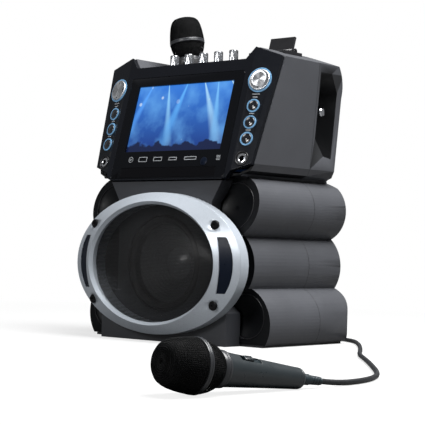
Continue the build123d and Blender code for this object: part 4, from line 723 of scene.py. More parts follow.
# ---------------------------------------------------------------- the cabinet
@dataclass
class Cabinet:
    """Shells, column, base and rear of the machine."""

    frame: dict
    lobe_end_y: float = -40.0
    lobe_end_z: float = 199.0
    vent_count: int = 9
    vent_pitch: float = 6.0

    def build(self) -> None:
        """Dress the moulded pieces and add the rear details."""
        shell = eased_copy(self.frame, "front_cabinet", Finish.SHELL, "cabinet")
        self.blacken_lobe_ends(shell)
        rear = eased_copy(self.frame, "rear_cabinet", Finish.SHELL, "cabinet")
        for half in (shell, rear):
            self.darken_recess(half)
        eased_copy(self.frame, "front_panel", Finish.COLUMN, "cabinet")
        eased_copy(self.frame, "lobe_dishes", Finish.LOBE_END, "cabinet", crease=60.0)
        self.dish_beads()
        self.studs()
        self.rear()

    def blacken_lobe_ends(self, shell: bpy.types.Object) -> None:
        """Give the forward faces of the lobes and the neck their black finish."""
        shell.data.materials.append(Finish.LOBE_END.material())
        for face in shell.data.polygons:
            ahead = face.normal.y < -0.8 and face.center.y < self.lobe_end_y * MM
            under = face.normal.z < -0.7 and face.center.z > 0.18
            if (ahead or under) and face.center.z < 0.215:
                face.material_index = 1

    @staticmethod
    def darken_recess(shell: bpy.types.Object) -> None:
        """Paint shade on the walls of the side recesses: their darker finish stands in for the shade that falls in
        them.
        """
        shell.data.materials.append(Finish.RECESS.material())
        last = len(shell.data.materials) - 1
        for face in shell.data.polygons:
            x, y, z = face.center / MM
            if abs(x) > 94.5 and 41.5 < y < 78.5 and 224.0 < z < 327.5:
                face.material_index = last

    def dish_beads(self) -> None:
        """Thin raised beads round the dishes in the lobes."""
        places, forms = [], []
        for x, z, radius, y, lean in ((96.5, 161.0, 29.5, -68.6, 12.27), (111.0, 35.0, 26.5, -58.5, -2.7)):
            for side in Side:
                forms.append(turned_form([
                    (radius - 1.4, -0.4), (radius - 1.1, 0.35), (radius - 0.6, 0.35), (radius - 0.3, -0.4),
                    (radius - 1.4, -0.4),
                ], 72))
                face = Face(Vector((side.value * x, y, z)), Vector((1, 0, 0)),
                            Vector((0, -math.cos(math.radians(lean)), math.sin(math.radians(lean)))))
                places.append(face.matrix())
        keep = joined(forms, places)
        for side in Side:
            bmesh.ops.bisect_plane(
                keep, geom=keep.verts[:] + keep.edges[:] + keep.faces[:], dist=1e-7,
                plane_co=(side.value * 74.4 * MM, 0, 0), plane_no=(-side.value, 0, 0),
                clear_outer=False, clear_inner=False,
            )
        inside = [v for v in keep.verts if abs(v.co.x) < 74.3 * MM]
        bmesh.ops.delete(keep, geom=inside, context="VERTS")
        bmesh.ops.holes_fill(keep, edges=[e for e in keep.edges if e.is_boundary], sides=12)
        place_piece("dish_beads", keep, Finish.BLACK_TRIM)

    def studs(self) -> None:
        """Turned strap studs with a domed head."""
        forms, places = [], []
        for side in Side:
            forms.append(turned_form([
                (0, 0), (3.2, 0), (3.2, 20), (2.4, 21), (2.4, 25), (4.6, 25.4), (5.5, 26.4), (5.5, 28.2),
                (4.4, 29.5), (2.0, 29.9), (0, 30),
            ], 40))
            face = Face(Vector((side.value * 95.2, 62.0, 281.0)), Vector((0, side.value, 0)),
                        Vector((side.value, 0, 0)))
            places.append(face.matrix())
        place_piece("strap_stud_turnings", joined(forms, places), Finish.CHROME, stands_for=("strap_studs",))

    def rear(self) -> None:
        """Rear plate, sockets, vents, screws and feet."""
        eased_copy(self.frame, "rear_panel", Finish.DECK_TOP, "cabinet")
        for node, finish in (
            ("base_plate", Finish.DECK_TOP), ("rubber_feet", Finish.RUBBER), ("power_inlet", Finish.BLACK_TRIM),
            ("power_supply", Finish.SUPPLY), ("circuit_boards", Finish.BOARD),
        ):
            recolour(self.frame, node, finish)
        rocker = eased_copy(self.frame, "power_rocker", Finish.BUTTON, "rocker")
        LOG.info("rocker is %s", rocker.name)
        sockets = [
            turned_form([(1.7, -6), (1.7, 7), (3.4, 7.2), (4.1, 6.6), (4.1, 0.6), (4.2, 0), (4.2, -6), (1.7, -6)], 32)
            for _ in range(4)
        ]
        places = [BACK.matrix(-(14.0 + 18.0 * i), 120.0) for i in range(4)]
        place_piece("line_sockets", joined(sockets, places), Finish.BRASS, stands_for=("rca_sockets",))
        slats = [block((52.0, 2.4, 1.0), 0.4) for _ in range(self.vent_count)]
        places = [BACK.matrix(38.0, 84.0 + self.vent_pitch * i) for i in range(self.vent_count)]
        place_piece("vent_slats", joined(slats, places), Finish.BLACK_TRIM)
        heads = [self.screw_head() for _ in range(4)]
        places = [BACK.matrix(x, z) for x in (-72.0, 72.0) for z in (40.0, 144.0)]
        place_piece("rear_screws", joined(heads, places), Finish.STEEL)

    @staticmethod
    def screw_head() -> bmesh.types.BMesh:
        """Pan head with a cross recess left as a dimple."""
        return turned_form([(0, 0.5), (0.9, 0.6), (1.3, 1.4), (2.4, 1.2), (3.2, 0.6), (3.3, 0), (0, 0)], 24)


def recolour(frame: dict, node: str, finish: Finish) -> None:
    """Give a CAD node a finish without touching its shape."""
    data = frame["nodes"][node].data
    data.materials.clear()
    data.materials.append(finish.material())


# ------------------------------------------------------------------- the head
@dataclass
class Head:
    """Leaning front of the head: wings, bezel, screen, pads and buttons."""

    frame: dict
    pad_place: tuple[float, float, float] = (14.2, 119.9, 13.2)
    button_place: tuple[float, float] = (12.4, 47.4)
    button_step: float = 20.3
    jack_place: tuple[float, float] = (11.2, 23.7)
    proud: float = 2.2
    mark_row: float = 25.0

    def build(self) -> None:
        """Dress and detail the head."""
        eased_copy(self.frame, "control_frame", Finish.WING, "cabinet")
        eased_copy(self.frame, "screen_bezel", Finish.BEZEL, "cabinet")
        recolour(self.frame, "display_panel", Finish.SCREEN)
        eased_copy(self.frame, "control_halos", Finish.HALO, "cabinet")
        for side in Side:
            self.pad(side)
            for number in (1, 2, 3):
                self.button(side, number)
        self.jacks()
        self.marks()

    def pad(self, side: Side) -> None:
        """Four-way pad: spun disc with a raised rim and small dark arrows."""
        p, v, r = self.pad_place
        place = wing_face(side).matrix(side.value * p, v)
        top = self.proud
        disc = turned_form([
            (0, -4.9), (r - 0.2, -4.9), (r, -4.6), (r, top - 0.9), (r - 0.35, top - 0.2), (r - 0.9, top),
            (r - 1.5, top - 0.15), (r - 1.9, top - 0.45), (r * 0.6, top - 0.2), (r * 0.3, top - 0.05), (0, top),
        ], 96)
        body = f"pad_{side.word}"
        place_piece(f"pad_{side.word}_disc", disc, Finish.PAD, body, place, (body,), 60.0)
        arrows, places = [], []
        for quarter in range(4):
            arrow = bmesh.new()
            bmesh.ops.create_cone(arrow, cap_ends=True, segments=3, radius1=1.25 * MM, radius2=1.1 * MM,
                                  depth=0.3 * MM)
            arrows.append(arrow)
            turn = Matrix.Rotation(quarter * math.pi / 2, 4, "Z")
            places.append(turn @ Matrix.Translation((0, (r - 3.6) * MM, (top - 0.28) * MM)))
        place_piece(f"pad_{side.word}_arrows", joined(arrows, places), Finish.DARK_MARK, body, place)

    def button(self, side: Side, number: int) -> None:
        """Small domed push button."""
        p, v = self.button_place
        body = f"button_{side.word}_{number}"
        place = wing_face(side).matrix(side.value * p, v + (number - 1) * self.button_step)
        top, r = self.proud, 6.2
        cap = turned_form([
            (0, -4.9), (r - 0.2, -4.9), (r, -4.6), (r, top - 1.5), (r - 0.3, top - 0.9), (r - 0.9, top - 0.75),
            (r - 1.5, top - 1.1), (r - 2.2, top - 1.25), (r * 0.4, top - 0.4), (0, top - 0.1),
        ], 64)
        place_piece(f"{body}_cap", cap, Finish.BUTTON, body, place, (body,), 60.0)

    def jacks(self) -> None:
        """Sockets: black bush and polished nut."""
        bushes, nuts, places = [], [], []
        for side in Side:
            p, v = self.jack_place
            places.append(wing_face(side).matrix(side.value * p, v))
            bushes.append(turned_form([
                (3.25, -20), (3.25, -1.6), (4.4, -1.2), (6.9, -1.2), (7.4, 0.4), (8.2, 0.8), (8.6, 0.3),
                (8.6, -5.1), (5.5, -5.2), (5.5, -29), (3.25, -29), (3.25, -20),
            ], 56))
            nuts.append(turned_form([
                (3.3, -1.4), (3.4, -0.2), (3.9, 0.15), (5.2, 0.1), (5.9, -0.3), (6.2, -1.15), (3.3, -1.4),
            ], 56))
        copies = [place.copy() for place in places]
        place_piece("jack_bushes", joined(bushes, places), Finish.BLACK_TRIM, stands_for=("mic_jacks",))
        place_piece("jack_nuts", joined(nuts, copies), Finish.CHROME)

    def marks(self) -> None:
        """Plain pictograms under the screen, the sensor window and the bars by the buttons."""
        forms, places = [], []
        for x, size in ((-43.0, (13.0, 5.6)), (-18.5, (13.0, 4.4)), (6.0, (12.0, 3.2)), (34.0, (18.0, 3.4))):
            forms += [block((size[0], 0.7, 0.12), 0), block((size[0], 0.7, 0.12), 0)]
            places += [HEAD.matrix(x, self.mark_row + s * size[1] / 2, 0.01) for s in (-1, 1)]
            forms += [block((0.7, size[1] + 0.7, 0.12), 0), block((0.7, size[1] + 0.7, 0.12), 0)]
            places += [HEAD.matrix(x + s * size[0] / 2, self.mark_row, 0.01) for s in (-1, 1)]
        for radius in (3.6, 1.3):
            forms.append(turned_form([
                (radius - 0.6, 0.01), (radius - 0.6, 0.13), (radius, 0.13), (radius, 0.01), (radius - 0.6, 0.01),
            ], 40))
            places.append(HEAD.matrix(-63.0, self.mark_row))
        for i in range(4):
            forms.append(block((6.0, 0.6, 0.12), 0))
            places.append(HEAD.matrix(77.5, self.mark_row - 3.0 + 1.7 * i, 0.01))
        for side in Side:
            face = wing_face(side)
            for number in (1, 2, 3):
                forms.append(block((6.4, 0.9, 0.12), 0))
                v = self.button_place[1] + (number - 1) * self.button_step + 10.6
                places.append(face.matrix(side.value * self.button_place[0], v, 0.01))
            forms.append(block((10.0, 0.7, 0.12), 0))
            places.append(face.matrix(side.value * 13.0, 102.3, 0.01))
        place_piece("panel_marks", joined(forms, places), Finish.MARK)
        window = turned_form([(0, 0.0), (5.2, 0.0), (5.2, 0.2), (4.8, 0.42), (0, 0.5)], 48)
        place_piece("sensor_window", window, Finish.WINDOW, place=HEAD.matrix(56.0, 20.6))


# ------------------------------------------------------------------ the woofer
@dataclass
class Woofer:
    """Oval silver ring, its windows and screws, the mesh and the driver."""

    frame: dict
    axis_z: float = SPEAKER_Z
    mesh_half: tuple[float, float] = (96.6, 69.1)
    mesh_edge_y: float = -98.5
    mesh_crest_y: float = -104.0

    def build(self) -> None:
        """Dress the ring and the driver."""
        eased_copy(self.frame, "ring_trim", Finish.SILVER, "cabinet", crease=24.0)
        eased_copy(self.frame, "light_windows", Finish.WINDOW, "cabinet")
        self.screws()
        self.mesh_sheet()
        self.driver()

    def screws(self) -> None:
        """Dark socket-head screws sunk in the ring."""
        forms, places = [], []
        for x in (-96.3, 96.3):
            for z in (-46.0, 46.0):
                forms.append(turned_form([
                    (0, -12), (2.0, -12), (2.0, -0.2), (5.4, 0), (5.4, 2.2), (4.8, 3.0), (1.9, 3.0), (1.7, 2.8),
                    (1.7, 1.6), (0, 1.5),
                ], 36))
                face = Face(Vector((x, -100.0, self.axis_z + z)), FRONT.across, FRONT.out)
                places.append(face.matrix())
        place_piece("ring_screw_heads", joined(forms, places), Finish.RING_SCREW, stands_for=("ring_screws",))

    def mesh_sheet(self) -> None:
        """Bowed oval sheet of fine mesh."""
        half_x, half_z = self.mesh_half
        form = bmesh.new()
        bmesh.ops.create_grid(form, x_segments=48, y_segments=2, size=1.0)
        bmesh.ops.scale(form, vec=(half_x * MM, half_z * MM, 1.0), verts=form.verts)
        bmesh.ops.rotate(form, cent=(0, 0, 0), matrix=Matrix.Rotation(math.pi / 2, 3, "X"), verts=form.verts)
        for vert in form.verts:
            part = vert.co.x / (half_x * MM)
            edge = math.sqrt(max(0.0, 1 - part * part))
            vert.co.z = self.axis_z * MM + vert.co.z * edge
            vert.co.y = (self.mesh_crest_y + (self.mesh_edge_y - self.mesh_crest_y) * part * part) * MM
        bmesh.ops.remove_doubles(form, verts=form.verts, dist=1e-6)
        bmesh.ops.recalc_face_normals(form, faces=form.faces)
        sheet = place_piece("grille_mesh", form, Finish.GRILLE, stands_for=("speaker_grille",))
        wall = sheet.modifiers.new("thickness", "SOLIDIFY")
        wall.thickness = 0.6 * MM
        wall.offset = -1.0

    def driver(self) -> None:
        """Cone, dust cap and surround of the driver."""
        cone = turned_form([
            (14.0, 23.0), (17.0, 20.6), (24.0, 15.6), (32.0, 10.0), (40.0, 4.7), (47.0, 0.0), (47.0, 1.4),
            (40.0, 6.1), (32.0, 11.4), (24.0, 17.0), (13.5, 27.4), (13.5, 40.0), (12.5, 40.0), (12.5, 26.0),
            (14.0, 23.0),
        ], 96)
        face = Face(Vector((0, -72.0, self.axis_z)), Vector((1, 0, 0)), Vector((0, 1, 0)))
        place_piece("cone_pressing", cone, Finish.CONE, "cone", face.matrix(), ("woofer_cone",), 50.0)
        cap = turned_form([
            (0, 12.2), (5.0, 12.6), (10.0, 13.8), (15.0, 16.0), (19.0, 18.4), (21.0, 19.8), (20.0, 20.6),
            (17.0, 19.0), (10.0, 15.2), (0, 13.4),
        ], 72)
        place_piece("cone_cap", cap, Finish.CAP, "cone", face.matrix())
        for node, finish in (
            ("woofer_surround", Finish.RUBBER), ("woofer_frame", Finish.BLACK_TRIM), ("woofer_magnet", Finish.STEEL),
        ):
            recolour(self.frame, node, finish)


# -------------------------------------------------------------------- the deck
@dataclass
class TopDeck:
    """Deck with five knobs, the microphone holder and the dock."""

    frame: dict
    knob_y: float = -18.0
    knob_step: float = 24.0
    knob_radius: float = 6.5
    knob_height: float = 16.0
    flutes: int = 30

    def build(self) -> None:
        """Dress the deck and build the knobs."""
        eased_copy(self.frame, "top_deck", Finish.DECK_TOP, "cabinet")
        eased_copy(self.frame, "mic_holder", Finish.BLACK_TRIM, "cabinet")
        eased_copy(self.frame, "phone_dock", Finish.BLACK_TRIM, "cabinet")
        eased_copy(self.frame, "dock_rest", Finish.BLACK_TRIM, "rest")
        for number in range(1, 6):
            self.knob(number)

    def knob(self, number: int) -> None:
        """Fluted chrome knob with a pointer line."""
        r, h = self.knob_radius, self.knob_height
        skirt = turned_form([
            (0, 0.3), (r, 0.3), (r, 1.6), (r - 0.5, 2.4), (r - 0.9, 2.8), (r - 0.9, h - 1.0), (r - 1.3, h - 0.2),
            (r - 1.8, h + 0.2), (r - 2.4, h + 0.2), (r - 2.7, h - 0.1), (0, h - 0.2),
        ], 2 * self.flutes)
        for vert in skirt.verts:
            around = vert.co.xy.length
            if 2.6 * MM < vert.co.z < (h - 0.6) * MM and around > (r - 1.1) * MM:
                side = round(math.atan2(vert.co.y, vert.co.x) / (math.pi / self.flutes))
                if side % 2:
                    vert.co.x *= 0.955
                    vert.co.y *= 0.955
        x = (number - 3) * self.knob_step
        place = DECK.matrix(x, self.knob_y)
        body = f"knob_{number}"
        for face in skirt.faces:
            spot = face.calc_center_median()
            flute = 2.6 * MM < spot.z < (h - 0.8) * MM and spot.xy.length < (r - 1.04) * MM
            hollow = spot.z > (h - 0.6) * MM and spot.xy.length < (r - 2.2) * MM
            face.material_index = int(flute or hollow)
        cap = place_piece(f"{body}_cap", skirt, Finish.KNOB, body, place, (body,), 30.0)
        cap.data.materials.append(Finish.KNOB_DARK.material())
        pointer = block((0.9, r * 0.7, 0.25), 0)
        place_piece(f"{body}_pointer", pointer, Finish.DARK_MARK, body, DECK.matrix(x, self.knob_y + r * 0.35, h - 0.2))


# -------------------------------------------------------------- the disc drive
@dataclass
class DiscDrive:
    """Tray, pinion, spindle and pickup, seen when the tray is out."""

    frame: dict

    def build(self) -> None:
        """Dress the drive's pieces."""
        eased_copy(self.frame, "disc_tray", Finish.TRAY, "tray")
        for node, finish in (
            ("tray_pinion", Finish.DRIVE), ("drive_chassis", Finish.DRIVE), ("disc_spindle", Finish.STEEL),
            ("pickup_sled", Finish.DRIVE),
        ):
            recolour(self.frame, node, finish)


# ------------------------------------------------------------- the microphones
@dataclass
class Microphone:
    """Hand-held microphone, built along its axis from the tip of the head to the tail."""

    name: str
    body: str
    switch_body: str
    place: Matrix
    wires: int = 84
    head: Profile = ((0.0, 0.3), (6.0, 0.35), (11.6, 0.6), (14.4, 1.7), (16.6, 3.9), (18.0, 6.8), (19.2, 10.6),
                     (20.4, 16.5), (21.2, 22.6), (21.9, 30.0))

    def build(self) -> None:
        """Build the head, the handle and the switch."""
        foam = turned_form([*self.inset(self.head, 0.7), (14.0, 50.0), (0.0, 50.0)], 48)
        place_piece(f"{self.name}_foam", foam, Finish.MIC_FOAM, self.body, self.place)
        taper = ((21.5, 34.0), (20.9, 38.0), (19.7, 42.5), (17.6, 47.5), (14.7, 52.0))
        basket = self.woven(list(self.head), self.wires)
        lower = self.woven(list(taper), self.wires)
        weave = joined([basket, lower], [Matrix.Identity(4), Matrix.Identity(4)])
        place_piece(f"{self.name}_weave", weave, Finish.MIC_WIRE, self.body, self.place,
                    (f"{self.name}_grille",), 80.0)
        band = turned_form([
            (20.6, 29.6), (22.0, 29.8), (22.3, 30.3), (22.3, 31.2), (22.0, 31.5), (22.0, 32.5), (22.3, 32.8),
            (22.3, 33.6), (22.0, 34.2), (20.6, 34.4), (20.6, 29.6),
        ], 72)
        place_piece(f"{self.name}_band", band, Finish.MIC_COLLAR, self.body, self.place)
        self.handle()
        self.switch()

    @staticmethod
    def inset(profile: Profile, depth: float) -> list[tuple[float, float]]:
        """Profile moved inwards by about that depth."""
        return [(max(0.0, r - depth), z + (depth if i == 0 else depth * 0.4)) for i, (r, z) in enumerate(profile)]

    def woven(self, profile: list[tuple[float, float]], around: int) -> bmesh.types.BMesh:
        """Wire mesh over a turned surface.

        Args:
            profile: (radius, distance) points in mm.
            around: number of wires round the widest place.

        Returns:
            A bmesh of crossing wires.
        """
        form = bmesh.new()
        line = [form.verts.new((r * MM, 0.0, z * MM)) for r, z in self.evened(profile, 1.7)]
        edges = [form.edges.new(pair) for pair in zip(line, line[1:])]
        bmesh.ops.spin(form, geom=line + edges, cent=(0, 0, 0), axis=(0, 0, 1), angle=2 * math.pi,
                       steps=around, use_merge=True)
        bmesh.ops.remove_doubles(form, verts=form.verts, dist=1e-6)
        bmesh.ops.recalc_face_normals(form, faces=form.faces)
        bmesh.ops.wireframe(form, faces=form.faces[:], thickness=0.62 * MM, offset=0.0, use_replace=True,
                            use_boundary=True, use_even_offset=False)
        return form

    @staticmethod
    def evened(profile: list[tuple[float, float]], step: float) -> list[tuple[float, float]]:
        """Profile with points about one step apart."""
        points = [profile[0]]
        for a, b in zip(profile, profile[1:]):
            pieces = max(1, round(math.dist(a, b) / step))
            points += [(a[0] + (b[0] - a[0]) * k / pieces, a[1] + (b[1] - a[1]) * k / pieces)
                       for k in range(1, pieces + 1)]
        return [(max(r, 0.0), z) for r, z in points]

    def handle(self) -> None:
        """Collar, tapered handle and end cap."""
        collar = turned_form([
            (0, 52.0), (14.8, 52.0), (15.1, 52.6), (15.1, 55.6), (14.7, 56.0), (14.7, 56.7), (15.0, 57.1), (14.9, 58.4),
            (14.2, 59.4), (0, 59.4),
        ], 72)
        place_piece(f"{self.name}_collar", collar, Finish.MIC_COLLAR, self.body, self.place)
        steps = [(0, 59.4), (14.0, 59.4), (13.9, 60.2), (13.2, 70.0), (12.3, 84.0), (11.4, 98.0), (10.4, 114.0),
                 (9.4, 130.0), (8.9, 139.0), (8.6, 139.4), (8.6, 140.2), (8.75, 140.6), (8.2, 142.2), (7.6, 143.0),
                 (0, 143.0)]
        tube = turned_form(steps, 72)
        node = f"{self.name}_body"
        tube_piece = place_piece(f"{self.name}_handle", tube, Finish.MIC_BODY, self.body, None, (node,))
        self.sink_switch(tube_piece)
        tube_piece.data.transform(self.place)

    def sink_switch(self, tube: bpy.types.Object) -> None:
        """Press a flat bed for the switch into the handle."""
        form = bmesh.new()
        form.from_mesh(tube.data)
        for value in (71.8, 72.2, 93.8, 94.2):
            bmesh.ops.bisect_plane(form, geom=form.verts[:] + form.edges[:] + form.faces[:], dist=1e-7,
                                   plane_co=(0, 0, value * MM), plane_no=(0, 0, 1))
        for value in (-3.5, -3.2, 3.2, 3.5):
            bmesh.ops.bisect_plane(form, geom=form.verts[:] + form.edges[:] + form.faces[:], dist=1e-7,
                                   plane_co=(0, value * MM, 0), plane_no=(0, 1, 0))
        for vert in form.verts:
            spot = vert.co / MM
            if spot.x > 4.0 and abs(spot.y) < 3.3 and 72.1 < spot.z < 93.9:
                vert.co.x = 10.2 * MM
        form.to_mesh(tube.data)
        form.free()
        tube.data.shade_smooth()
        tube.data.set_sharp_from_angle(angle=math.radians(30.0))

    def switch(self) -> None:
        """Long recessed plate and the ribbed slider on it."""
        plate = block((21.4, 6.2, 0.5), 0.2)
        lie = Matrix(((0, 0, 1, 10.25 * MM), (0, 1, 0, 0), (-1, 0, 0, 83.0 * MM), (0, 0, 0, 1)))
        place_piece(f"{self.name}_plate", plate, Finish.MIC_SWITCH, self.body, self.place @ lie)
        forms = [block((9.0, 5.6, 2.8), 0.6)]
        places = [Matrix(((0, 0, 1, 10.6 * MM), (0, 1, 0, 0), (-1, 0, 0, 80.5 * MM), (0, 0, 0, 1)))]
        for i in range(4):
            forms.append(block((0.8, 4.6, 0.5), 0.2))
            places.append(Matrix(((0, 0, 1, 13.3 * MM), (0, 1, 0, 0), (-1, 0, 0, (78.0 + 1.7 * i) * MM), (0, 0, 0, 1))))
        place_piece(f"{self.name}_slider", joined(forms, places), Finish.MIC_SWITCH, self.switch_body, self.place,
                    (f"{self.name}_switch",))


@dataclass(frozen=True)
class MicPlaces:
    """Where the two microphones stand and lie."""

    holder_lean: float = math.radians(10.0)
    holder: Vector = field(default_factory=lambda: Vector((-55.0, 20.0, 336.0)))
    band_z: float = 374.0
    band_s: float = 32.0
    tip: tuple[float, float] = (412.0, -529.0)
    yaw: float = math.radians(80.0)
    roll: float = math.radians(30.0)
    band_r: float = 22.3
    tail: tuple[float, float] = (140.0, 8.8)
    band_end: float = 34.0
    floor_gap: float = 0.1

    def standing(self) -> Matrix:
        """Place of the microphone in the holder: Z runs from the tip down to the tail."""
        up = Vector((-math.sin(self.holder_lean), 0.0, math.cos(self.holder_lean)))
        reach = (self.band_z - self.holder.z) / math.cos(self.holder_lean) + self.band_s
        return self.stand(self.holder + up * reach, Vector((0.0, -1.0, 0.0)), -up)

    def lying(self) -> Matrix:
        """Place of the microphone on the floor."""
        along, x_dir = self.lying_axes()
        return self.stand(self.lying_tip(), x_dir, along)

    def nose(self) -> float:
        """Angle by which the lying microphone's tail dips below its head."""
        return math.asin((self.band_r - self.tail[1]) / (self.tail[0] - self.band_end))

    def lying_tip(self) -> Vector:
        """Tip of the lying microphone's head, in mm."""
        nose = self.nose()
        height = self.band_r * math.cos(nose) + self.band_end * math.sin(nose) + self.floor_gap
        return Vector((*self.tip, height))

    def lying_axes(self) -> tuple[Vector, Vector]:
        """Directions from head to tail and towards the switch."""
        nose = self.nose()
        along = Vector((math.cos(self.yaw) * math.cos(nose), math.sin(self.yaw) * math.cos(nose), -math.sin(nose)))
        side = Vector((math.sin(self.yaw), -math.cos(self.yaw), 0.0))
        up = side.cross(along)
        return along, up * math.cos(self.roll) + side * math.sin(self.roll)

    @staticmethod
    def stand(origin: Vector, x_dir: Vector, z_dir: Vector) -> Matrix:
        """Matrix with that origin in mm, X and Z."""
        y_dir = z_dir.cross(x_dir)
        turn = Matrix((x_dir, y_dir, z_dir)).transposed().to_4x4()
        return Matrix.Translation(origin * MM) @ turn


# -------------------------------------------------------------------- the cord
@dataclass
class Cord:
    """Microphone cord: from the strain relief along the floor to a tied coil and its plug."""

    frame: dict
    places: MicPlaces
    radius: float = 2.5
    floor_z: float = 2.6
    relief_start: float = 143.0
    relief_length: float = 24.0
    route: Sequence[tuple[float, float]] = (
        (443.0, -305.0), (430.0, -268.0), (407.0, -231.0), (366.0, -178.0), (318.0, -118.0), (272.0, -64.0),
        (240.0, -15.0), (207.0, 33.0), (172.0, 80.0), (139.0, 119.0), (102.0, 138.0), (62.0, 148.5),
    )
    coil_centre: tuple[float, float] = (-16.0, 196.0)
    coil_radius: float = 44.0
    coil_turns: int = 5
    coil_pitch: float = 5.6
    coil_z: float = 3.9
    coil_layer: float = 5.6
    points_a_turn: int = 16
    approach: float = 36.0
    tail_run: float = 18.0
    plug_place: tuple[float, float] = (-78.0, 158.0)
    plug_way: tuple[float, float] = (-0.94, 0.34)
    plug_radius: float = 6.5
    length: float = 2694.0

    def build(self) -> None:
        """Lay the cord, its relief, tie and plug."""
        boot = self.boot()
        plug = self.plug()
        tie = self.tie()
        points = self.line()
        curve = bpy.data.curves.new("mic_cord_line", "CURVE")
        curve.dimensions = "3D"
        curve.bevel_depth = self.radius * MM
        curve.bevel_resolution = 3
        curve.resolution_u = 6
        curve.use_fill_caps = True
        spline = curve.splines.new("NURBS")
        spline.points.add(len(points) - 1)
        for point, spot in zip(spline.points, points):
            point.co = (*(spot * MM), 1.0)
        spline.order_u = 3
        spline.use_endpoint_u = True
        curve.materials.append(Finish.CORD.material())
        cord = bpy.data.objects.new("mic_cord_line", curve)
        bpy.context.scene.collection.objects.link(cord)
        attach(cord, "cabinet")
        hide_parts("mic_cord", "cord_coil", "cord_tail")
        LOG.info("cord with %d points, relief %s", len(points), boot.name)

    def line(self) -> list[Vector]:
        """Control points of the whole cord, in mm."""
        along, _ = self.places.lying_axes()
        out = self.places.lying_tip() + along * (self.relief_start + self.relief_length)
        touch = out + along * ((out.z - self.floor_z) / math.sin(self.places.nose()))
        entry = self.coil_spot(0.0) + Vector((2 * self.radius, 0, 0))
        leave = self.coil_spot(2.0 * self.coil_turns) - Vector((2 * self.radius, 0, 0))
        turns = 2 * self.coil_turns
        coil = [self.coil_spot(k / self.points_a_turn, 1.0194) for k in range(1, turns * self.points_a_turn)]
        way = Vector((*self.plug_way, 0.0)).normalized()
        socket = Vector((*self.plug_place, self.plug_radius + 0.1))
        return [
            out, touch, *[Vector((x, y, self.floor_z)) for x, y in self.route],
            entry + Vector((self.approach, 0, 0)), entry, self.coil_spot(0.0), *coil, self.coil_spot(turns), leave,
            leave - Vector((self.tail_run, 0, 0)), socket - way * self.tail_run, socket,
        ]

    def coil_spot(self, turn: float, grow: float = 1.0) -> Vector:
        """Point of the coil after so many turns, clockwise seen from above."""
        back = turn if turn <= self.coil_turns else 2 * self.coil_turns - turn
        reach = (self.coil_radius - self.coil_pitch * back) * grow
        climb = min(1.0, max(0.0, (turn - self.coil_turns + 0.25) / 0.5))
        angle = -math.pi / 2 - 2 * math.pi * turn
        return Vector((
            self.coil_centre[0] + reach * math.cos(angle), self.coil_centre[1] + reach * math.sin(angle),
            self.coil_z + self.coil_layer * climb,
        ))

    def boot(self) -> bpy.types.Object:
        """Ribbed, tapered strain relief."""
        start = self.relief_start
        profile = [(0.0, start), (4.6, start), (4.6, start + 9.0), (4.0, start + 9.6)]
        for i in range(4):
            at = start + 10.4 + 3.2 * i
            wide = 3.95 - 0.12 * i
            profile += [(wide, at), (wide, at + 1.8), (wide - 0.55, at + 2.1), (wide - 0.55, at + 2.9)]
        profile += [(3.3, start + 23.4), (3.1, start + 24.0), (0.0, start + 24.0)]
        return place_piece("strain_relief_boot", turned_form(profile, 40), Finish.BOOT, place=self.places.lying(),
                           stands_for=("mic_strain_relief",))

    def plug(self) -> bpy.types.Object:
        """Plug: boot, sleeve and ringed pin."""
        way = Vector((*self.plug_way, 0.0)).normalized()
        spot = Vector((*self.plug_place, self.plug_radius + 0.1))
        side = Vector((0, 0, 1)).cross(way)
        place = MicPlaces.stand(spot, side, way)
        form = turned_form([
            (0, 0), (3.2, 0), (3.9, 2), (3.9, 6), (6.0, 6.2), (6.5, 7.0), (6.5, 12.0), (6.1, 12.5), (6.1, 24.0),
            (6.5, 24.5), (6.5, 33.0), (5.6, 37.8), (3.15, 38.0), (3.15, 63.0), (2.4, 64.0), (2.4, 64.8), (3.0, 65.8),
            (2.4, 67.4), (0, 68.0),
        ], 48)
        return place_piece("plug_turning", form, Finish.CHROME, place=place, stands_for=("mic_plug",))

    def tie(self) -> bpy.types.Object:
        """Flat tie round the turns of the coil."""
        piece = eased_copy(self.frame, "cord_tie", Finish.BLACK_TRIM, "cabinet")
        return piece


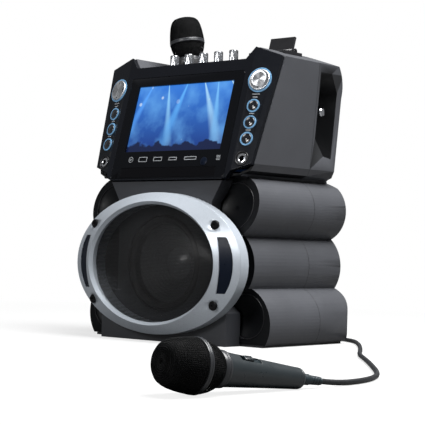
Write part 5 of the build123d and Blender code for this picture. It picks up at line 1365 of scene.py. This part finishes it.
# ------------------------------------------------------------------- the stage
@dataclass
class Studio:
    """Floor, world, lamps and camera."""

    focal_px: float = 1372.0
    frame_px: float = 425.0
    sensor: float = 36.0
    azimuth: float = math.radians(40.61)
    elevation: float = math.radians(-1.5)
    roll: float = math.radians(1.49)
    shift_x: float = 4.07
    shift_z: float = 156.59
    distance: float = 1697.4

    def build(self) -> None:
        """Set the stage."""
        self.floor()
        self.world()
        self.lamps()
        self.camera()
        scene = bpy.context.scene
        scene.view_settings.view_transform = "Standard"

    def floor(self) -> None:
        """Pale floor that fades to white away from the machine."""
        form = bmesh.new()
        bmesh.ops.create_circle(form, cap_ends=True, segments=96, radius=3.0)
        bmesh.ops.translate(form, vec=(0, 0, -0.0002), verts=form.verts)
        mesh = bpy.data.meshes.new("floor")
        form.to_mesh(mesh)
        form.free()
        graph = Graph("floor_pale")
        flat = graph.axes()
        far = graph.math("SQRT", graph.math("ADD", graph.math("MULTIPLY", flat["X"], flat["X"]),
                                            graph.math("MULTIPLY", flat["Y"], flat["Y"])))
        path = graph.node("ShaderNodeLightPath")
        seen = graph.math("MAXIMUM", path.outputs["Is Camera Ray"], path.outputs["Is Transmission Ray"])
        pale = graph.blend(seen, (0.12, 0.12, 0.12), (0.85, 0.85, 0.85))
        graph.set(Base_Color=pale, Roughness=0.9)
        white = graph.node("ShaderNodeEmission", {"Color": (1, 1, 1, 1), "Strength": 1.0}).outputs[0]
        share = graph.math("MULTIPLY", seen, graph.span(far, 0.72, 1.0, 0.35, 1.1))
        mixed = graph.node("ShaderNodeMixShader", {0: share, 1: graph.shader.outputs[0], 2: white}).outputs[0]
        graph.join(mixed, graph.output.inputs["Surface"])
        mesh.materials.append(graph.material)
        floor = bpy.data.objects.new("floor", mesh)
        bpy.context.scene.collection.objects.link(floor)

    def world(self) -> None:
        """Even grey light, with a white backdrop for what the camera and gloss see."""
        world = bpy.data.worlds.new("studio")
        bpy.context.scene.world = world
        world.use_nodes = True
        tree = world.node_tree
        tree.nodes.clear()
        out = tree.nodes.new("ShaderNodeOutputWorld")
        path = tree.nodes.new("ShaderNodeLightPath")
        white = tree.nodes.new("ShaderNodeBackground")
        white.inputs["Strength"].default_value = 1.0
        white.inputs["Color"].default_value = (1, 1, 1, 1)
        even = tree.nodes.new("ShaderNodeBackground")
        even.inputs["Strength"].default_value = 0.06
        even.inputs["Color"].default_value = (0.92, 0.95, 1.0, 1)
        glossy = tree.nodes.new("ShaderNodeMath")
        glossy.operation = "MAXIMUM"
        tree.links.new(path.outputs["Is Camera Ray"], glossy.inputs[0])
        tree.links.new(path.outputs["Is Transmission Ray"], glossy.inputs[1])
        half = tree.nodes.new("ShaderNodeMath")
        half.operation = "MAXIMUM"
        tree.links.new(glossy.outputs[0], half.inputs[0])
        soft = tree.nodes.new("ShaderNodeMath")
        soft.operation = "MULTIPLY"
        soft.inputs[1].default_value = 0.15
        tree.links.new(path.outputs["Is Glossy Ray"], soft.inputs[0])
        tree.links.new(soft.outputs[0], half.inputs[1])
        mix = tree.nodes.new("ShaderNodeMixShader")
        tree.links.new(half.outputs[0], mix.inputs[0])
        tree.links.new(even.outputs[0], mix.inputs[1])
        tree.links.new(white.outputs[0], mix.inputs[2])
        tree.links.new(mix.outputs[0], out.inputs["Surface"])

    def lamps(self) -> None:
        """Soft lamps overhead and in front."""
        for name, spot, size, power in (
            ("overhead", (0.7, 0.0, 1.55), 1.1, 62.0),
            ("front", (-0.1, -2.0, 0.85), 0.6, 15.0),
        ):
            data = bpy.data.lights.new(name, "AREA")
            data.shape = "SQUARE"
            data.size = size
            data.energy = power
            lamp = bpy.data.objects.new(name, data)
            lamp.location = spot
            aim = Vector((0.0, 0.0, 0.17)) - Vector(spot)
            lamp.rotation_euler = aim.to_track_quat("-Z", "Y").to_euler()
            bpy.context.scene.collection.objects.link(lamp)

    def camera(self) -> None:
        """Camera at the photograph's viewing angle."""
        a, e, r = self.azimuth, self.elevation, self.roll
        back = Vector((math.sin(a) * math.cos(e), -math.cos(a) * math.cos(e), math.sin(e)))
        right = Vector((math.cos(a), math.sin(a), 0.0))
        up = back.cross(right)
        target = right * self.shift_x + Vector((0, 0, self.shift_z))
        spot = (target + back * self.distance) * MM
        rolled_right = right * math.cos(r) + up * math.sin(r)
        rolled_up = up * math.cos(r) - right * math.sin(r)
        data = bpy.data.cameras.new("camera")
        data.sensor_width = self.sensor
        data.lens = self.focal_px / self.frame_px * self.sensor
        data.clip_start, data.clip_end = 0.05, 50.0
        camera = bpy.data.objects.new("camera", data)
        turn = Matrix((rolled_right, rolled_up, back)).transposed().to_4x4()
        camera.matrix_world = Matrix.Translation(spot) @ turn
        bpy.context.scene.collection.objects.link(camera)
        bpy.context.scene.camera = camera


def main() -> None:
    """Build the scene in order."""
    logging.basicConfig(level=logging.INFO, format="%(name)s: %(message)s")
    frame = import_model()
    places = MicPlaces()
    Studio().build()
    Cord(frame, places).build()
    Cabinet(frame).build()
    Head(frame).build()
    Woofer(frame).build()
    TopDeck(frame).build()
    DiscDrive(frame).build()
    Microphone("top_mic", "top_mic", "top_switch", places.standing()).build()
    Microphone("floor_mic", "cabinet", "floor_switch", places.lying()).build()


if __name__ == "__main__":
    main()
